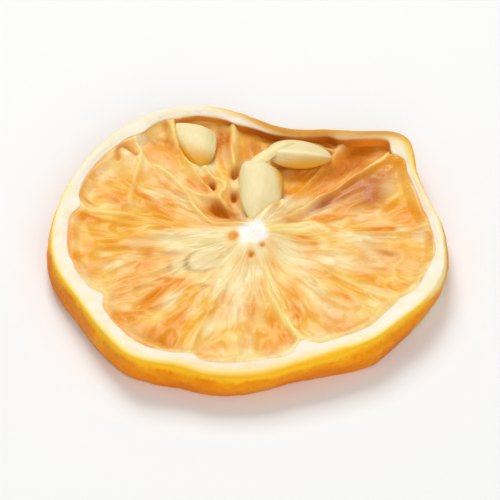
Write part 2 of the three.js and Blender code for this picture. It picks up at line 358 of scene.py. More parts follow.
# Where the flesh has its own colour, and where shade and light are painted on it (in some brown, mauve
# and pale patches, as marked below): x, y, half length, half width, amount, and a turn where it doesn't
# lie along the sacs.
stains = {
    # pale, mostly the flesh's own colour, but the patches at 4.5, 9 and 4.6, 9.2, right of the pip beside the
    # core, are painted light over the shade there
    "pale": [
        (-6.4, -1.6, 4.4, 3.4, 0.6, 0), (10.5, -11.5, 4, 2.2, 0.35), (-10.5, 12.5, 5, 2.6, 0.25, -45),
        (0, -18.6, 7, 1.2, 0.4, 0), (8, -16.2, 4, 1.4, 0.35, 28), (-0.5, -10.5, 3, 2.4, 0.2),
        (1.4, 0.2, 6, 4.6, 0.6, 0), (-3.1, -5, 3.2, 2.4, 0.6), (-0.9, -8.4, 3.6, 1.1, 0.75),
        (6.4, -3.4, 2.4, 1, 0.4), (12.6, -3, 2.8, 1.2, 0.6), (15.6, 4, 2.4, 1.8, 0.35),
        (4.8, 8.2, 1.4, 1, 0.5, 40), (6.4, 6.4, 2.4, 0.8, 0.7, 45), (-1.6, 11.6, 0.7, 2.4, 0.45, 0),
        (1, -7.5, 4, 1.4, 0.45), (6.5, -2.6, 4, 1.6, 0.5), (10.9, -3.2, 2.8, 0.7, 0.55),
        (6.6, -5.2, 2.6, 0.8, 0.45), (-7.4, 2, 3.6, 0.8, 0.7, 3), (-20.4, -1, 0.7, 0.6, 0.4, 0),
        (-17.4, -1.6, 0.9, 0.5, 0.4, 0), (-14, 0.1, 1, 0.6, 0.5, 0), (-4.8, -8, 1.8, 0.8, 0.4),
        (-9.4, -9.6, 1.5, 0.6, 0.65), (-6.9, -11.6, 1.8, 0.5, 0.5), (6.6, 3.3, 2.8, 0.8, 0.5, 4),
        (13.6, 1.2, 1.9, 0.6, 0.6), (14.1, 5.4, 1.5, 0.6, 0.6), (16.5, 5.9, 1.4, 0.5, 0.5, -15),
        (9, -10.6, 2.8, 0.6, 0.5), (15.7, -10.6, 1.1, 0.7, 0.5), (-20.6, 1.7, 0.9, 0.6, 0.6, 0),
        (-17.4, 1.7, 1, 0.5, 0.4, 0), (-16, 12.5, 2.6, 1.2, 0.25, 40), (-16.7, 6.9, 1.6, 0.5, 0.5, -10),
        (7.4, 12.4, 1, 0.9, 0.55, 20), (6.6, 8.2, 2.4, 0.8, 0.4, 35), (-13.4, -3.6, 1.8, 0.7, 0.35, 25),
        (-14.7, 15.8, 0.8, 0.7, 0.7, 0), (-13.2, 17, 0.4, 1.2, 0.7, 0), (-5.4, -2.7, 2, 0.9, 0.6, 40),
        (3.2, 5.4, 1.6, 0.8, 0.8, 57), (5.8, 7.6, 2.6, 0.7, 0.6, 48), (-3, 10, 1.6, 1.6, 0.25, -50),
        (-10.2, 13.6, 3.4, 1, 0.3), (-5.6, 13.4, 1.6, 0.8, 0.5, -40), (18.5, 3.1, 1, 0.6, 0.7, 0),
        (-1.6, -3, 2.6, 1, 0.35), (-12.6, 14.2, 0.6, 2, 0.4, 10), (17.2, 10.4, 1, 1.9, 0.7, -30),
        (16, 1.4, 3, 1, 0.4, 0), (-3, -9, 1.5, 1, 0.8), (14.5, -0.5, 1.8, 1.1, 0.9, -10),
        (15.5, -2.6, 1.4, 1, 0.5), (4.5, 9, 0.9, 1.5, 0.9, 0), (0.5, 15.5, 1.1, 0.9, 0.9, 0),
        (-8, -4, 1.2, 0.9, 0.9), (-0.5, 5.6, 1.2, 0.8, 0.6, 0), (-1.6, 8.1, 0.6, 0.7, 0.4, 0),
        (-4.5, -14.4, 1.8, 0.9, 0.9), (-20, -4.6, 0.8, 1.3, 0.8, 20), (-19.4, -6.8, 0.8, 1.1, 0.9, 20),
        (7.5, 6, 1.5, 0.8, 0.6, 40), (20.5, 1.5, 1.1, 1, 0.6), (15, -8, 1.5, 0.8, 0.8),
        (-12.5, 0.5, 1.7, 0.7, 0.7, 0), (-2.5, -7, 1.4, 1.1, 0.6), (13.5, 6, 1.5, 0.8, 0.5, 20),
        (-14.5, 14.5, 0.9, 1.1, 0.6, 0), (-14, 7, 1.4, 0.7, 0.6, -15), (-16.5, -3.5, 1.6, 0.8, 0.6, 15),
        (10, -2, 1.6, 0.9, 0.6), (8, -8, 1.5, 0.8, 0.6), (0, -16, 1.6, 0.9, 0.5), (17, -9, 1.4, 0.8, 0.5),
        (2.2, 4.2, 0.9, 0.7, 0.5), (-8, 8.5, 1.2, 0.7, 0.5), (7.6, 8.8, 1.3, 0.7, 0.5),
        (21.4, 2.4, 0.8, 1.3, 0.7, 0), (15.5, 16.4, 1.2, 0.8, 0.5, 45), (20.7, 8.4, 0.7, 3.2, 0.35, 14),
        (6.4, 3.9, 3.4, 0.55, 0.6, 0), (-13.4, 18.4, 1.1, 0.8, 0.9, 30), (-18, 12.5, 0.9, 1.2, 0.8, 30),
        (4.6, 9.2, 0.6, 1.2, 0.8, 0), (9, 7.2, 1.2, 0.6, 0.4, 35), (-4.6, 14.6, 0.9, 1.2, 0.8, 0),
        (-0.7, 6.4, 0.7, 1.4, 0.6, 0), (-2.4, 16.4, 0.7, 1.3, 0.5, 0), (-1.4, 11.4, 0.5, 1.8, 0.4, 0),
        (11.2, 17.6, 1, 0.6, 0.9, -28), (19, -3, 2.2, 2, 0.35), (10.6, 7.7, 2.6, 0.7, 0.6, 25),
        (2.8, -6.6, 2.4, 0.5, 0.6), (5.5, -1.2, 1.6, 0.9, 0.5), (0.5, -4.2, 1.2, 1, 0.5),
        (-14, -2, 1.3, 0.8, 0.6), (5, 19, 1.5, 0.6, 0.8, -6), (-10, 1, 1.5, 0.7, 0.6, 0),
        (-4.2, -2.2, 1.4, 1.1, 0.5, 40), (-3.7, 0.6, 0.8, 0.6, 0.5, 0),
    ],
    "orange": [
        (-1.7, 1.1, 0.52, 0.7, 1.3, 0), (0.45, -1.95, 0.42, 0.55, 1.2, 0), (1.8, -0.55, 0.42, 0.45, 1, 0),
        (-10.6, -8.2, 2.4, 0.62, 1.7, 47), (-12.2, -10.6, 1.3, 0.62, 1.4, 55), (-9, -6.1, 1.5, 0.4, 1, -12),
        (-11.8, -6.8, 4, 2.8, 0.45, 30), (-6.2, 4.2, 2.2, 0.8, 0.5, -15), (9.8, -14.4, 2.4, 1, 0.4, 26),
        (-14.8, -12.8, 1.6, 0.9, 1.3, -40), (-10.6, -16, 3.2, 1.6, 1.3, -24), (-8.8, -13.4, 2.8, 1, 1.2),
        (-12, -1.1, 1, 0.6, 0.7, 80), (-14.3, -5.9, 1.5, 0.5, 0.6, 20), (-18.5, -5, 1.4, 0.3, 0.4, -42),
        (-21.5, 1.6, 0.5, 1.1, 1.1, 0), (-19.9, 4.9, 1.5, 0.9, 0.8, -20), (-19.3, 7.6, 1.1, 0.3, 0.9, -40),
        (-15.5, 7.9, 1.6, 0.6, 0.9, -22), (-13.1, 9.3, 3.2, 0.5, 0.9, -48), (-10.4, 5.8, 2.4, 0.6, 0.7, -34),
        (-7, 11.3, 1.2, 0.5, 0.6, -60), (-20.6, 10.2, 0.5, 1.6, 0.6, 0), (-19.6, 14.4, 0.5, 1.4, 0.6, -20),
        (-18, -0.7, 1.3, 0.3, 0.5, 4), (-14.5, 2.6, 1.5, 0.35, 0.7, -43), (-18, 4, 0.8, 0.4, 0.6, -50),
        (-12.9, -3.4, 1.6, 1.1, 0.4, 20), (-16.2, 7.6, 1.6, 0.8, 0.4, -30), (-4.9, 10.9, 1.2, 0.7, 0.6, -60),
        (-2.6, 3.7, 1.6, 0.6, 0.3, -20), (-3.3, -12.2, 2, 1.4, 0.5, 0), (3.6, 19.2, 2.4, 1, 0.6, -6),
        (5.6, -8.5, 1.5, 0.8, 1), (0.7, -10.3, 1.8, 0.5, 0.7), (0.5, -12.9, 1.4, 0.7, 0.6),
        (3, -16.6, 2.2, 0.7, 0.5, 20), (3, -12.6, 1.6, 0.6, 0.5), (9.9, -5.8, 1.8, 0.5, 0.6),
        (13.6, -4.9, 1.8, 0.45, 0.7), (11.7, -9.5, 1.6, 0.5, 0.5), (19, -7, 1.8, 0.5, 0.7, 10),
        (18.8, -2.6, 2, 0.5, 0.35, -15), (15.8, 2.9, 1.7, 0.36, 1.1, 5), (10.6, 5.3, 2.6, 0.35, 0.8, 14),
        (18.7, 4.8, 1.3, 0.7, 0.7, -20), (20.9, 7, 0.5, 2.6, 0.3, 12), (21.9, 0.6, 0.5, 1.2, 0.4, 0),
        (6.2, 4.6, 2.6, 0.22, 0.8, 10), (12, -14.6, 3, 0.6, 0.5, 26), (-2.8, -17.4, 3, 0.6, 0.35, 0),
        (5.6, 10.2, 1.2, 0.8, 0.4, 40), (8.6, 9.4, 1.6, 0.9, 0.7, 40), (-7.2, 16, 1.8, 0.8, 0.5, 0),
        (-11.6, 16.2, 1.6, 0.9, 0.5, 60), (-9.3, 17.8, 0.6, 2, 0.7, 8), (-4.9, 12.4, 0.5, 1.2, 0.7, -60),
        (12.4, 15, 5.5, 3.2, 0.9, 38), (16.4, 2.9, 1.6, 0.7, 0.9, 5), (-5.2, 9.4, 1.4, 0.9, 0.7),
        (-14.4, -6.4, 1.5, 1.1, 0.8, 10), (-15, -9.2, 1.3, 1.3, 0.7), (-11, -10.6, 1.4, 0.9, 0.8),
        (-19.6, 3.9, 1.1, 1.1, 0.8, 0), (-7, 10.6, 1.2, 0.9, 0.5), (-12, -3.5, 1.5, 1, 0.7, 20),
        (-8, -7.2, 1.5, 1, 0.8), (6, -12, 1.4, 1.1, 0.6), (-5, -18, 1.3, 0.8, 0.6, 0),
        (9.5, 5, 1.8, 0.6, 0.7, 14), (-8, -14, 1.4, 0.9, 0.6), (-15.5, 7.5, 1.3, 0.7, 0.6, -20),
        (-17.5, 9, 1.3, 0.8, 0.6, -30), (-13, -12, 1.3, 0.9, 0.6), (10.5, -13, 1.5, 0.8, 0.6),
        (0, -11, 1.2, 0.9, 0.6), (-1, -3, 1.1, 0.7, 0.6), (-9, -2, 1.5, 0.8, 0.5),
        (-20.5, 1.5, 0.8, 1.1, 0.5, 0), (10, 10.5, 1.4, 0.8, 0.5, 40), (2, 17.5, 1, 0.8, 0.6),
        (-2.5, 19.5, 0.9, 1.1, 0.6), (16.6, 6.6, 1.3, 0.9, 0.5, 20), (-1.8, 0.6, 0.9, 1, 0.5, 0),
        (3, -0.4, 0.8, 0.9, 0.4, 0), (-2.6, 3.7, 1.8, 0.8, 0.8, -20), (5.6, -11.2, 2, 0.7, 0.6),
        (16.5, 3, 1.2, 0.6, 0.6, 5), (18, 5.5, 1.2, 0.8, 0.6, 10), (-15, -13, 1.1, 0.8, 0.6),
        (12, -10.2, 1.3, 0.7, 0.6), (3.4, -13.6, 1.2, 0.8, 0.4), (9.5, 5.6, 1.4, 0.5, 0.7, 14),
        (-18.6, 5, 1, 0.7, 0.6, -20), (-21.2, 1.4, 0.7, 1.4, 0.8, 0), (5.2, 10.6, 1.2, 1, 0.9, 0),
        (7.4, 11.6, 1.3, 1, 0.5, 0), (-1.2, 4, 1.3, 0.7, 0.7, -20), (10.2, 10.6, 1.5, 0.8, 0.6, 40),
        (-15.6, 7.3, 1.3, 0.7, 0.5, -20), (-2.2, 19.2, 0.5, 1.4, 0.8, 0), (-8.6, -14, 1.3, 0.9, 0.5),
        (-4.6, 3, 1.4, 0.7, 0.5, -10), (5.6, 8.6, 1, 0.8, 0.4, 45), (9, 8.8, 1.3, 0.7, 0.5, 35),
        (15.6, 3, 1.3, 0.6, 0.5, 5), (4.8, 1.5, 1.6, 0.25, 0.5, 0), (6.9, 1.3, 1.2, 0.3, 0.8, -20),
        (8.1, 0.2, 0.9, 0.4, 0.8, -60), (6.8, 13, 1.9, 1, 0.9, 0), (13, 16.2, 3.4, 1.3, 0.7, 40),
    ],
    # mauve, mostly the flesh's own colour, but the narrow strip at 11.5, 9.2 is the painted shadow of the
    # membrane at 41 degrees, on its lower right side
    "mauveAndShadow": [
        (14.6, 9.6, 3.6, 2, 0.85, 40), (11.5, 9.2, 3.4, 0.9, 0.8, 38), (16.8, 13, 1.8, 1, 0.4, 50),
        (9, 7.2, 2, 0.6, 0.6, 35), (-9.2, -1.2, 1.8, 0.7, 0.5, 5), (-5.1, -7.4, 0.6, 0.5, 0.7, 0),
        (16.6, -1.1, 1.6, 0.35, 0.6, -20), (-2.4, 17.2, 0.8, 2.4, 0.3, 0), (0.7, 18.6, 1, 1, 0.6, 0),
        (-1.4, 8.8, 0.4, 1.2, 0.3, 0), (-9.4, -3.9, 0.4, 0.7, 0.4, -15), (15.4, 8, 1.6, 1, 0.5, 30),
        (-11.6, 18.4, 1.2, 1, 0.4, 0), (14.6, 0.4, 1.6, 0.5, 0.3, -10),
    ],
    # brown, partly the flesh's own and partly painted shade: the hole beside the core, the pits, the slits
    # under the back rim and the deep trough at the back right are painted dark for the shade in them
    "brownAndShade": [
        (-10.8, -16.7, 2.4, 0.8, 0.45, -24), (-11.9, -1.3, 0.8, 0.45, 0.4, 80),
        (-10.9, -8.6, 1.6, 0.35, 0.3, 47), (14.2, 17.6, 4.2, 1.9, 0.7, 34), (11.6, 14.4, 3.6, 1, 0.85, 44),
        (9.4, 12.6, 1.8, 0.8, 0.3, 30), (6, 13.8, 1.8, 0.5, 0.3, 0), (-3.3, 6.7, 1.6, 1.1, 1.5, -22),
        (-3.6, 7.6, 0.6, 0.9, 0.9, 0), (-1.5, 4.9, 1, 0.6, 0.9, -20), (-1.55, 13.5, 0.46, 0.8, 1.6, 0),
        (-4.35, 11.2, 0.42, 0.66, 1.6, 0), (-1.65, 9.6, 0.42, 0.85, 1.4, 0), (2.9, 20.2, 1.4, 0.7, 1.5, -6),
        (9.6, 19, 2, 0.7, 1.2, -20), (9.4, 17.3, 1.5, 0.6, 0.8, -28), (12.4, 15.2, 2.2, 0.9, 0.8, 44),
        (14.4, 14.6, 1.3, 0.7, 0.5, 44), (-7.4, 21.4, 3.4, 0.5, 0.9, 4), (-2.8, 19.6, 0.9, 1.8, 0.8, 10),
        (-3.6, 18.4, 0.5, 2.6, 0.7, 0), (0.2, 20.8, 1.4, 0.5, 0.6, -4), (0.6, 17.6, 1.2, 1, 0.2, 0),
        (-9.9, 19.2, 0.5, 2.4, 0.5, 5), (-9.2, 17.6, 0.35, 0.8, 0.8, 0), (-19.2, 7.4, 0.9, 0.25, 0.5, -40),
        (4, 14.8, 1.4, 0.5, 0.6, 10), (0.45, -1.95, 0.3, 0.4, 0.6, 0), (1.8, -0.55, 0.3, 0.32, 0.6, 0),
    ],
}

# Edges of membranes that the flesh is drawn up to: x and y along them, height, half width, how much of
# their own pale colour they have, and the share of all this that is lost at the far end.
ridges = {
    "left": ([(-21.2, 7.6), (-20.2, 6.6), (-19, 5.7), (-17, 5.4), (-14.8, 5.1), (-12.4, 4.3), (-9.6, 3.8)],
             0.35, 0.36, 0.9, 0.8),
    "underHole": ([(-11, 13.6), (-9.4, 12), (-8.3, 10.6), (-7.5, 9.1), (-6.5, 6.9), (-5.3, 5.1),
                   (-3.8, 3.8), (-1.8, 3.2), (-0.2, 2.8)], 0.55, 0.32, 0.9, 0.2),
    "overHole": ([(-8.4, 11.2), (-7.2, 9.8), (-5.9, 8.8), (-4.7, 8.6), (-3.4, 8.1), (-2.2, 7.2), (-1.2, 6.8)],
                 0.4, 0.34, 0.5, 0.2),
    "betweenPips": ([(-5.2, 13.6), (-4.2, 12.4), (-3, 11.8), (-2.7, 10.8), (-3.3, 9.8), (-3.3, 8.9),
                     (-2.6, 7.9)], 0.5, 0.32, 0.85, 0.2),
    "shoulder": ([(-13.6, 17.4), (-13.2, 16.4), (-13.2, 14.6), (-13.6, 12.4), (-14, 10.6), (-14.3, 8.6),
                  (-14.2, 6.8)], 0.3, 0.4, 0.6, 0.4),
    "front": ([(6.4, -16.9), (5.8, -15.6), (4.6, -13.2), (3.3, -10.4), (2.6, -8), (2.5, -5.8), (2.2, -4)],
              0.3, 0.45, 1, 0.3),
    "frontLeft": ([(-6.9, -17.4), (-6.2, -15.6), (-5, -13.6), (-3.4, -11.6)], 0.25, 0.5, 0.55, 0.7),
    "lowerLeft": ([(-17.6, -8.8), (-16.2, -7.6), (-14.4, -6.2), (-11.2, -5), (-8.8, -4.2)],
                  0.25, 0.4, 0.45, 0.7),
    "right": ([(18.2, -10.6), (15, -8.6), (12, -6.4), (9.4, -4.2)], 0.2, 0.5, 0.6, 0.7),
    "farRight": ([(22.6, 3.2), (19.4, 2.6), (16, 2)], 0.25, 0.3, 0.4, 0.9),
    "corner": ([(19.6, 18.2), (16.4, 15.5), (14.6, 13.9), (12.9, 12.3), (10.2, 9.8), (8.2, 7.7), (5.8, 5.6)],
               0.4, 0.34, 1, 0.5),
    "swoosh": ([(2.6, 1.9), (4.2, 2.9), (6.4, 4), (8.4, 3.8), (9.5, 2.8), (9.9, 2.1)], 0.35, 0.5, 1.4, 0.3),
    "swooshBelow": ([(3.2, 1.8), (5.2, 2.5), (6.8, 2.5), (8.1, 2), (9, 1)], 0.25, 0.32, 0.9, 0.4),
    "besidePip": ([(-1.6, 22.4), (-1.55, 21), (-1.4, 18.6), (-1.3, 16.6), (-1.4, 14.6)], 0.7, 0.42, 0.9, 0.5),
    "leftOfPip": ([(-9.6, 23.5), (-9.5, 22), (-9.2, 19.8), (-9, 18), (-8.7, 16.6)], 0.9, 0.42, 1, 0.6),
    "overSlit": ([(7.4, 19), (8.8, 18.5), (10, 17.8), (11, 17.1)], 0.4, 0.22, 0.6, 0.4),
    "behindPip": ([(13.2, 20.2), (12, 18.4), (11, 16.8), (10.4, 15.4), (9.8, 14.2)], 0.5, 0.4, 0.4, 0.8),
}

# Narrow torn lines: x and y along them, depth and half width.
grooves = {
    "shoulder": ([(-15.9, 14.8), (-16.0, 16.0), (-15.6, 16.9), (-14.9, 17.0), (-14.3, 16.5), (-13.7, 15.9)],
                 0.35, 0.3),
    "behindPip": ([(7.2, 18.2), (8.2, 17.8), (9.0, 17.4), (9.8, 16.9)], 1.0, 0.3),
}

# A pip that lies under the flesh shows by its outline.
coveredPip = {"x": -4.95, "y": -2.45, "halfLength": 2.7, "halfWidth": 1.75, "turn": 34, "edgeWidth": 0.16}

# Flesh that laps over the tip of the pip beside the core.
lapOver = {
    "points": [(1.3, 3.6), (2.0, 4.8), (2.8, 6.0), (3.5, 7.1), (4.1, 8.2)],
    "height": 4.15,
    "halfWidth": 0.7,
    "fading": 0.6,
}


def beddedZ(z, x, y, pip):
    # under a pip the flesh is no higher than the lower half of an ellipsoid, a little smaller than the pip
    # and narrower towards its tip
    along, across = alongAcross(x, y, pip["at"][0], pip["at"][1], math.radians(pip["yaw"]))
    u = along / (pip["length"] * flesh["bed"]["share"])
    v = across / (pip["width"] * flesh["bed"]["share"])
    v = v / (1 - flesh["bed"]["narrowing"] * np.clip(-u, 0, 1))
    inside = 1 - u * u - v * v
    half = pip["thickness"] * 0.5 * np.sqrt(np.maximum(inside, 0))
    return lerp(z, np.minimum(z, pip["at"][2] - half), smoothstep(inside, 0, 0.3))


def nearLine(points, halfWidth, x, y, fading=0.0):
    # exp(-(distance / halfWidth)^2) from a smooth line in plan, less a share "fading" at its far end
    near = np.zeros(np.broadcast(x, y).shape)
    count = 12 * len(points)
    for k, (px, py) in enumerate(smoothPath(points, count)):
        strength = 1 - fading * smoothstep(k / (count - 1), 0.3, 1)
        away = ((x - px) ** 2 + (y - py) ** 2) / halfWidth ** 2
        near = np.maximum(near, strength * np.exp(-away))
    return near


def sacPattern(column, lap, r, layer):
    # long juice sacs that fan out from the core, finer ones beyond the inner ones: how far a sac's edge
    # is, each sac's tone, how its floor sinks, and the swing that makes them all uneven
    swing = sum(ringNoise(pattern, lap, r, 2 + layer + k) for k, pattern in enumerate(flesh["swings"]))
    own = column["segment"] * 7.37
    gaps, sacTones = [], []
    for sacs, field, shift in ((flesh["innerSacs"], 2, -0.3), (flesh["sacs"], layer, 0.35)):
        u = lap * sacs["around"] + own + 0.8 * swing
        _, gap, tone = cellNoise(u, r / sacs["length"] + shift * swing + own, field)
        gaps.append(gap)
        sacTones.append(tone * smoothstep(gap, 0, 0.4))
    far = smoothstep(r + 1.4 * swing, 7.5, 11)
    gap = lerp(gaps[0], gaps[1], far)
    tone = lerp(sacTones[0], sacTones[1], far)
    depth = lerp(flesh["innerSacs"]["depth"], flesh["sacs"]["depth"], far)
    floor = depth * (smoothstep(gap, 0, 0.7) - 0.5 + 0.6 * tone * smoothstep(gap, 0, 0.3))
    return gap, tone, floor, swing


def ringShare(sink):
    return lerp(*flesh["ringShares"], smoothstep(sink, *flesh["deepSinks"]))


def markCoveredPip(x, y, swing):
    # how far a place lies over the covered pip, and the line round it, plainer on one side
    along, across = alongAcross(x, y, coveredPip["x"], coveredPip["y"], math.radians(coveredPip["turn"]))
    u, v = along / coveredPip["halfLength"], across / coveredPip["halfWidth"]
    offEdge = (np.hypot(u, v) - 1) / coveredPip["edgeWidth"]
    over = smoothstep(offEdge, 0.5, -2.5)
    return over, np.exp(-offEdge ** 2) * (0.5 - 0.35 * u + 0.2 * v + 0.2 * swing) + 0.16 * over


def drawUp(x, y, swing):
    # how far the ridges draw the flesh up, less the grooves' depth; their pale colour; and where the grooves
    # lie, for painted shade in them
    drawn, pallor, grooveShade = (0 * x for _ in range(3))
    for points, lift, halfWidth, amount, fading in ridges.values():
        near = nearLine(points, halfWidth, x, y, fading) * (0.85 + 0.35 * swing)
        drawn = np.maximum(drawn, lift * near)
        pallor = np.maximum(pallor, amount * near)
    for points, depth, halfWidth in grooves.values():
        near = nearLine(points, halfWidth, x, y)
        grooveShade = np.maximum(grooveShade, near)
        drawn = drawn - depth * near
    return drawn, pallor, grooveShade


def fleshFace(side, column, g, pips):
    # a cut face of the flesh: the face's own height less a sink, which the folds and the dried sacs
    # vary, and which lessens at the membranes, the core and the ring
    top = side == "top"
    layer = 0 if top else 1
    core = lemon["core"]
    flare = 0 if top else swellAt(lemon["flareSwells"], column["outer"])
    direction = directionAt(column, g)
    x, y = planPoint(direction, g, flare)
    r = g * column["reach"]
    lap = direction / 360
    toRing = column["reach"] * (1 - g) - pithWidth(column)
    away = np.minimum(column["f"], 1 - column["f"]) * np.radians(column["span"]) * r

    gap, tone, floor, swing = sacPattern(column, lap, r, layer)
    fold = ringNoise(flesh["folds"], lap, r, 4 + layer, 0.4 * swing)
    wrinkle = ringNoise(flesh["wrinkles"], lap, r, 6, swing)
    deep = column["sink"] if top else flesh["underSink"] + 0 * column["sink"]
    verySunk = smoothstep(deep, 1.3, 1.9)
    broken = 0.75 + ringNoise(flesh["breaks"], lap, r, 7)
    ridge = column["stand"] * broken * np.exp(-((away / flesh["ridgeHalfWidth"]) ** 2))
    overPip, edgeOfPip, drawn, pallor, grooveShade = (0 * x for _ in range(5))
    if top:
        overPip, edgeOfPip = markCoveredPip(x, y, swing)
        drawn, pallor, grooveShade = drawUp(x, y, swing)
    calm = 1 - 0.8 * overPip
    fromCore = smoothstep(r, core["radius"] * 0.8, core["radius"] + flesh["coreRun"])
    fromRing = lerp(ringShare(deep), 1, smoothstep(toRing, -0.1, 1.5))
    relief = (fold + floor * smoothstep(r, 2, 7)) * smoothstep(toRing, -0.4, 0.9)
    relief = relief * (1 - 0.6 * verySunk) * calm
    inside = lerp(deep * fromRing + relief, flesh["shallow"][side], np.clip(ridge, 0, 1)) * fromCore
    inside = inside + wrinkle * smoothstep(r, 1.2, 5) * calm - drawn
    if top:
        inside = inside + patchAt(x, y, dimples) * smoothstep(toRing, -0.1, 0.8)
        least = lerp(flesh["least"]["core"], flesh["least"]["open"], smoothstep(r, 2, 4))
        least = lerp(flesh["least"]["ring"], least, smoothstep(toRing, -0.2, 1.6))
        inside = np.maximum(inside, least)
    z = faceZ(side, direction, g) + (-inside if top else inside)
    if top:
        for pip in pips:
            z = beddedZ(z, x, y, pip)
        lapping = nearLine(lapOver["points"], lapOver["halfWidth"], x, y, lapOver["fading"])
        lapped = np.maximum(z, lapOver["height"] + 0.3 * relief)
        z = lerp(z, lapped, smoothstep(lapping, 0.1, 0.9))
    else:
        z = np.maximum(z, flesh["clearance"])

    blob = core["radius"] * (0.95 + ringNoise(flesh["blob"], lap, 0 * r, 5))
    rays = smoothstep(ringNoise(flesh["rays"], lap, r, 6, 0.5 * swing), -0.1, 0.7)
    rays = rays * (1 - smoothstep(r, 4, 10))
    fibres = ringNoise(flesh["fibres"], lap, r, 5, 0.6 * swing)
    temper = ringNoise(flesh["temper"], lap, r, 3)
    cloud = sum(amount * latticeNoise(x / size + 0.4 * swing, y / size + 40 * size, layer + 2)
                for size, amount in flesh["clouds"])
    milky = smoothstep(ringNoise(flesh["milk"], lap, r, 7, 0.3 * swing) + 0.7 * cloud, 0, 1)
    milky = milky * (1 - 0.8 * verySunk)
    kinds = {key: patchAt(x, y, spots) if top else 0 * x for key, spots in stains.items()}
    ragged = 1 + 0.12 * fibres + 0.25 * tone + 0.3 * cloud
    line = 1 - smoothstep(gap, 0.02, 0.2)
    rimLine = swellAt(flesh["rimLine"], column["outer"]) if top else flesh["rimLineUnder"]
    rimLine = rimLine * np.exp(-(((toRing - 0.1) / 0.35) ** 2)) * (0.8 + 0.4 * swing)
    creamy = swellAt(flesh["creamy"], column["outer"]) if top else 0
    creamy = creamy * (1 - smoothstep(toRing, -0.2, 1.6))
    membrane = 0.6 * ridge * np.exp(-((away / flesh["membraneHalfWidth"]) ** 2))
    # the tone, and how much of each colour a place has: mostly its own, but brown and mauve also paint
    # shade, some pale paints light, and the flecks paint highlights
    attributes = {
        "tone": 0.9 * cloud + 0.22 * tone + 0.05 * fibres + 0.2 * temper - 0.2 * smoothstep(r, 4, 17)
        - 0.25 * fold / flesh["folds"]["depth"],
        "pale": kinds["pale"] * ragged + 0.3 * rays + 0.45 * milky + creamy + 0.7 * overPip,
        "orange": 0.8 * kinds["orange"] * ragged + rimLine + 0.4 * line * np.maximum(0, -temper),
        "mauveAndShadow": kinds["mauveAndShadow"] * ragged,
        # the grooves are painted brown as well, for the shade that falls in them
        "brownAndShade": kinds["brownAndShade"] * (0.6 + 0.4 * ragged) + 0.65 * grooveShade,
        "grey": edgeOfPip,
        "membrane": membrane * smoothstep(r, 2.5, 5) + pallor,
        "wall": np.minimum(line * (0.1 + 0.5 * temper) * smoothstep(r, 2, 6) * (1 - overPip), 0.4),
        # where pale flecks, painted highlights, may show
        "paintedGlint": np.clip(0.35 + 0.6 * temper, 0, 0.7) * smoothstep(r, 5, 14)
        * (1 - np.clip(kinds["brownAndShade"], 0, 1)),
        "white": (1 - smoothstep(r, blob * 0.75, blob * 1.3)) * (1 - np.clip(kinds["orange"], 0, 1)),
    }
    attributes = {key: a if key == "tone" else np.clip(a, 0, 1) for key, a in attributes.items()}
    grain = flesh["grain"]
    attributes["grain"] = ringGrain(grain["radius"], np.radians(direction), r / grain["length"])
    points = np.stack(np.broadcast_arrays(x, y, z), axis=-1)
    shape = points.shape[:2]
    return points, {key: np.broadcast_to(a, shape + a.shape[2:]) for key, a in attributes.items()}


def makeFlesh(material, pips):
    # one closed body: out over the upper face, round a hidden edge under the pith, and in again below
    column = columnsRound(flesh["columns"], flesh["crowding"])
    edge = 1 - (pithWidth(column) - flesh["tuck"]) / column["reach"]
    topShare = (np.arange(1, flesh["topRows"] + 1) / flesh["topRows"])[:, None]
    underShare = (np.arange(flesh["underRows"], 0, -1) / flesh["underRows"])[:, None]
    upper, upperKinds = fleshFace("top", column, topShare * edge, pips)
    lower, lowerKinds = fleshFace("under", column, underShare * edge, pips)
    points = np.concatenate([upper, lower])
    kinds = {key: np.concatenate([upperKinds[key], lowerKinds[key]]) for key in upperKinds}
    core = lemon["core"]
    poles = [(core["x"], core["y"], core["top"]), (core["x"], core["y"], core["under"])]
    dress(closedSurface("flesh", points, poles, kinds), material, "slice")


# A film over two pips: its middle line, its half width at the start, the middle and the end, and how far
# it is banked.
film = {
    "path": [(0.3, 7.0, 3.7), (-0.05, 9.0, 4.05), (-0.05, 10.8, 4.3), (0.25, 12.3, 4.45), (0.95, 13.7, 4.5),
             (2.0, 14.9, 4.55), (3.3, 15.9, 4.6), (4.6, 16.7, 4.6), (5.8, 17.1, 4.3)],
    "halfWidth": (0.5, 1.15, 0.8),
    "halfThickness": 0.2,
    "bank": 16,
    "drape": 0.55,  # how far its edges hang down
    "bluntness": 5,  # of its ends
    "grainLength": 3,
    "rows": 90,
    "around": 16,
}


def alongThree(values, count):
    # from the first value to the second at half way, and on to the third, eased
    t = np.linspace(0, 1, count)
    early = lerp(values[0], values[1], smoothstep(t, 0, 0.5))
    late = lerp(values[1], values[2], smoothstep(t, 0.5, 1))
    return np.where(t < 0.5, early, late)


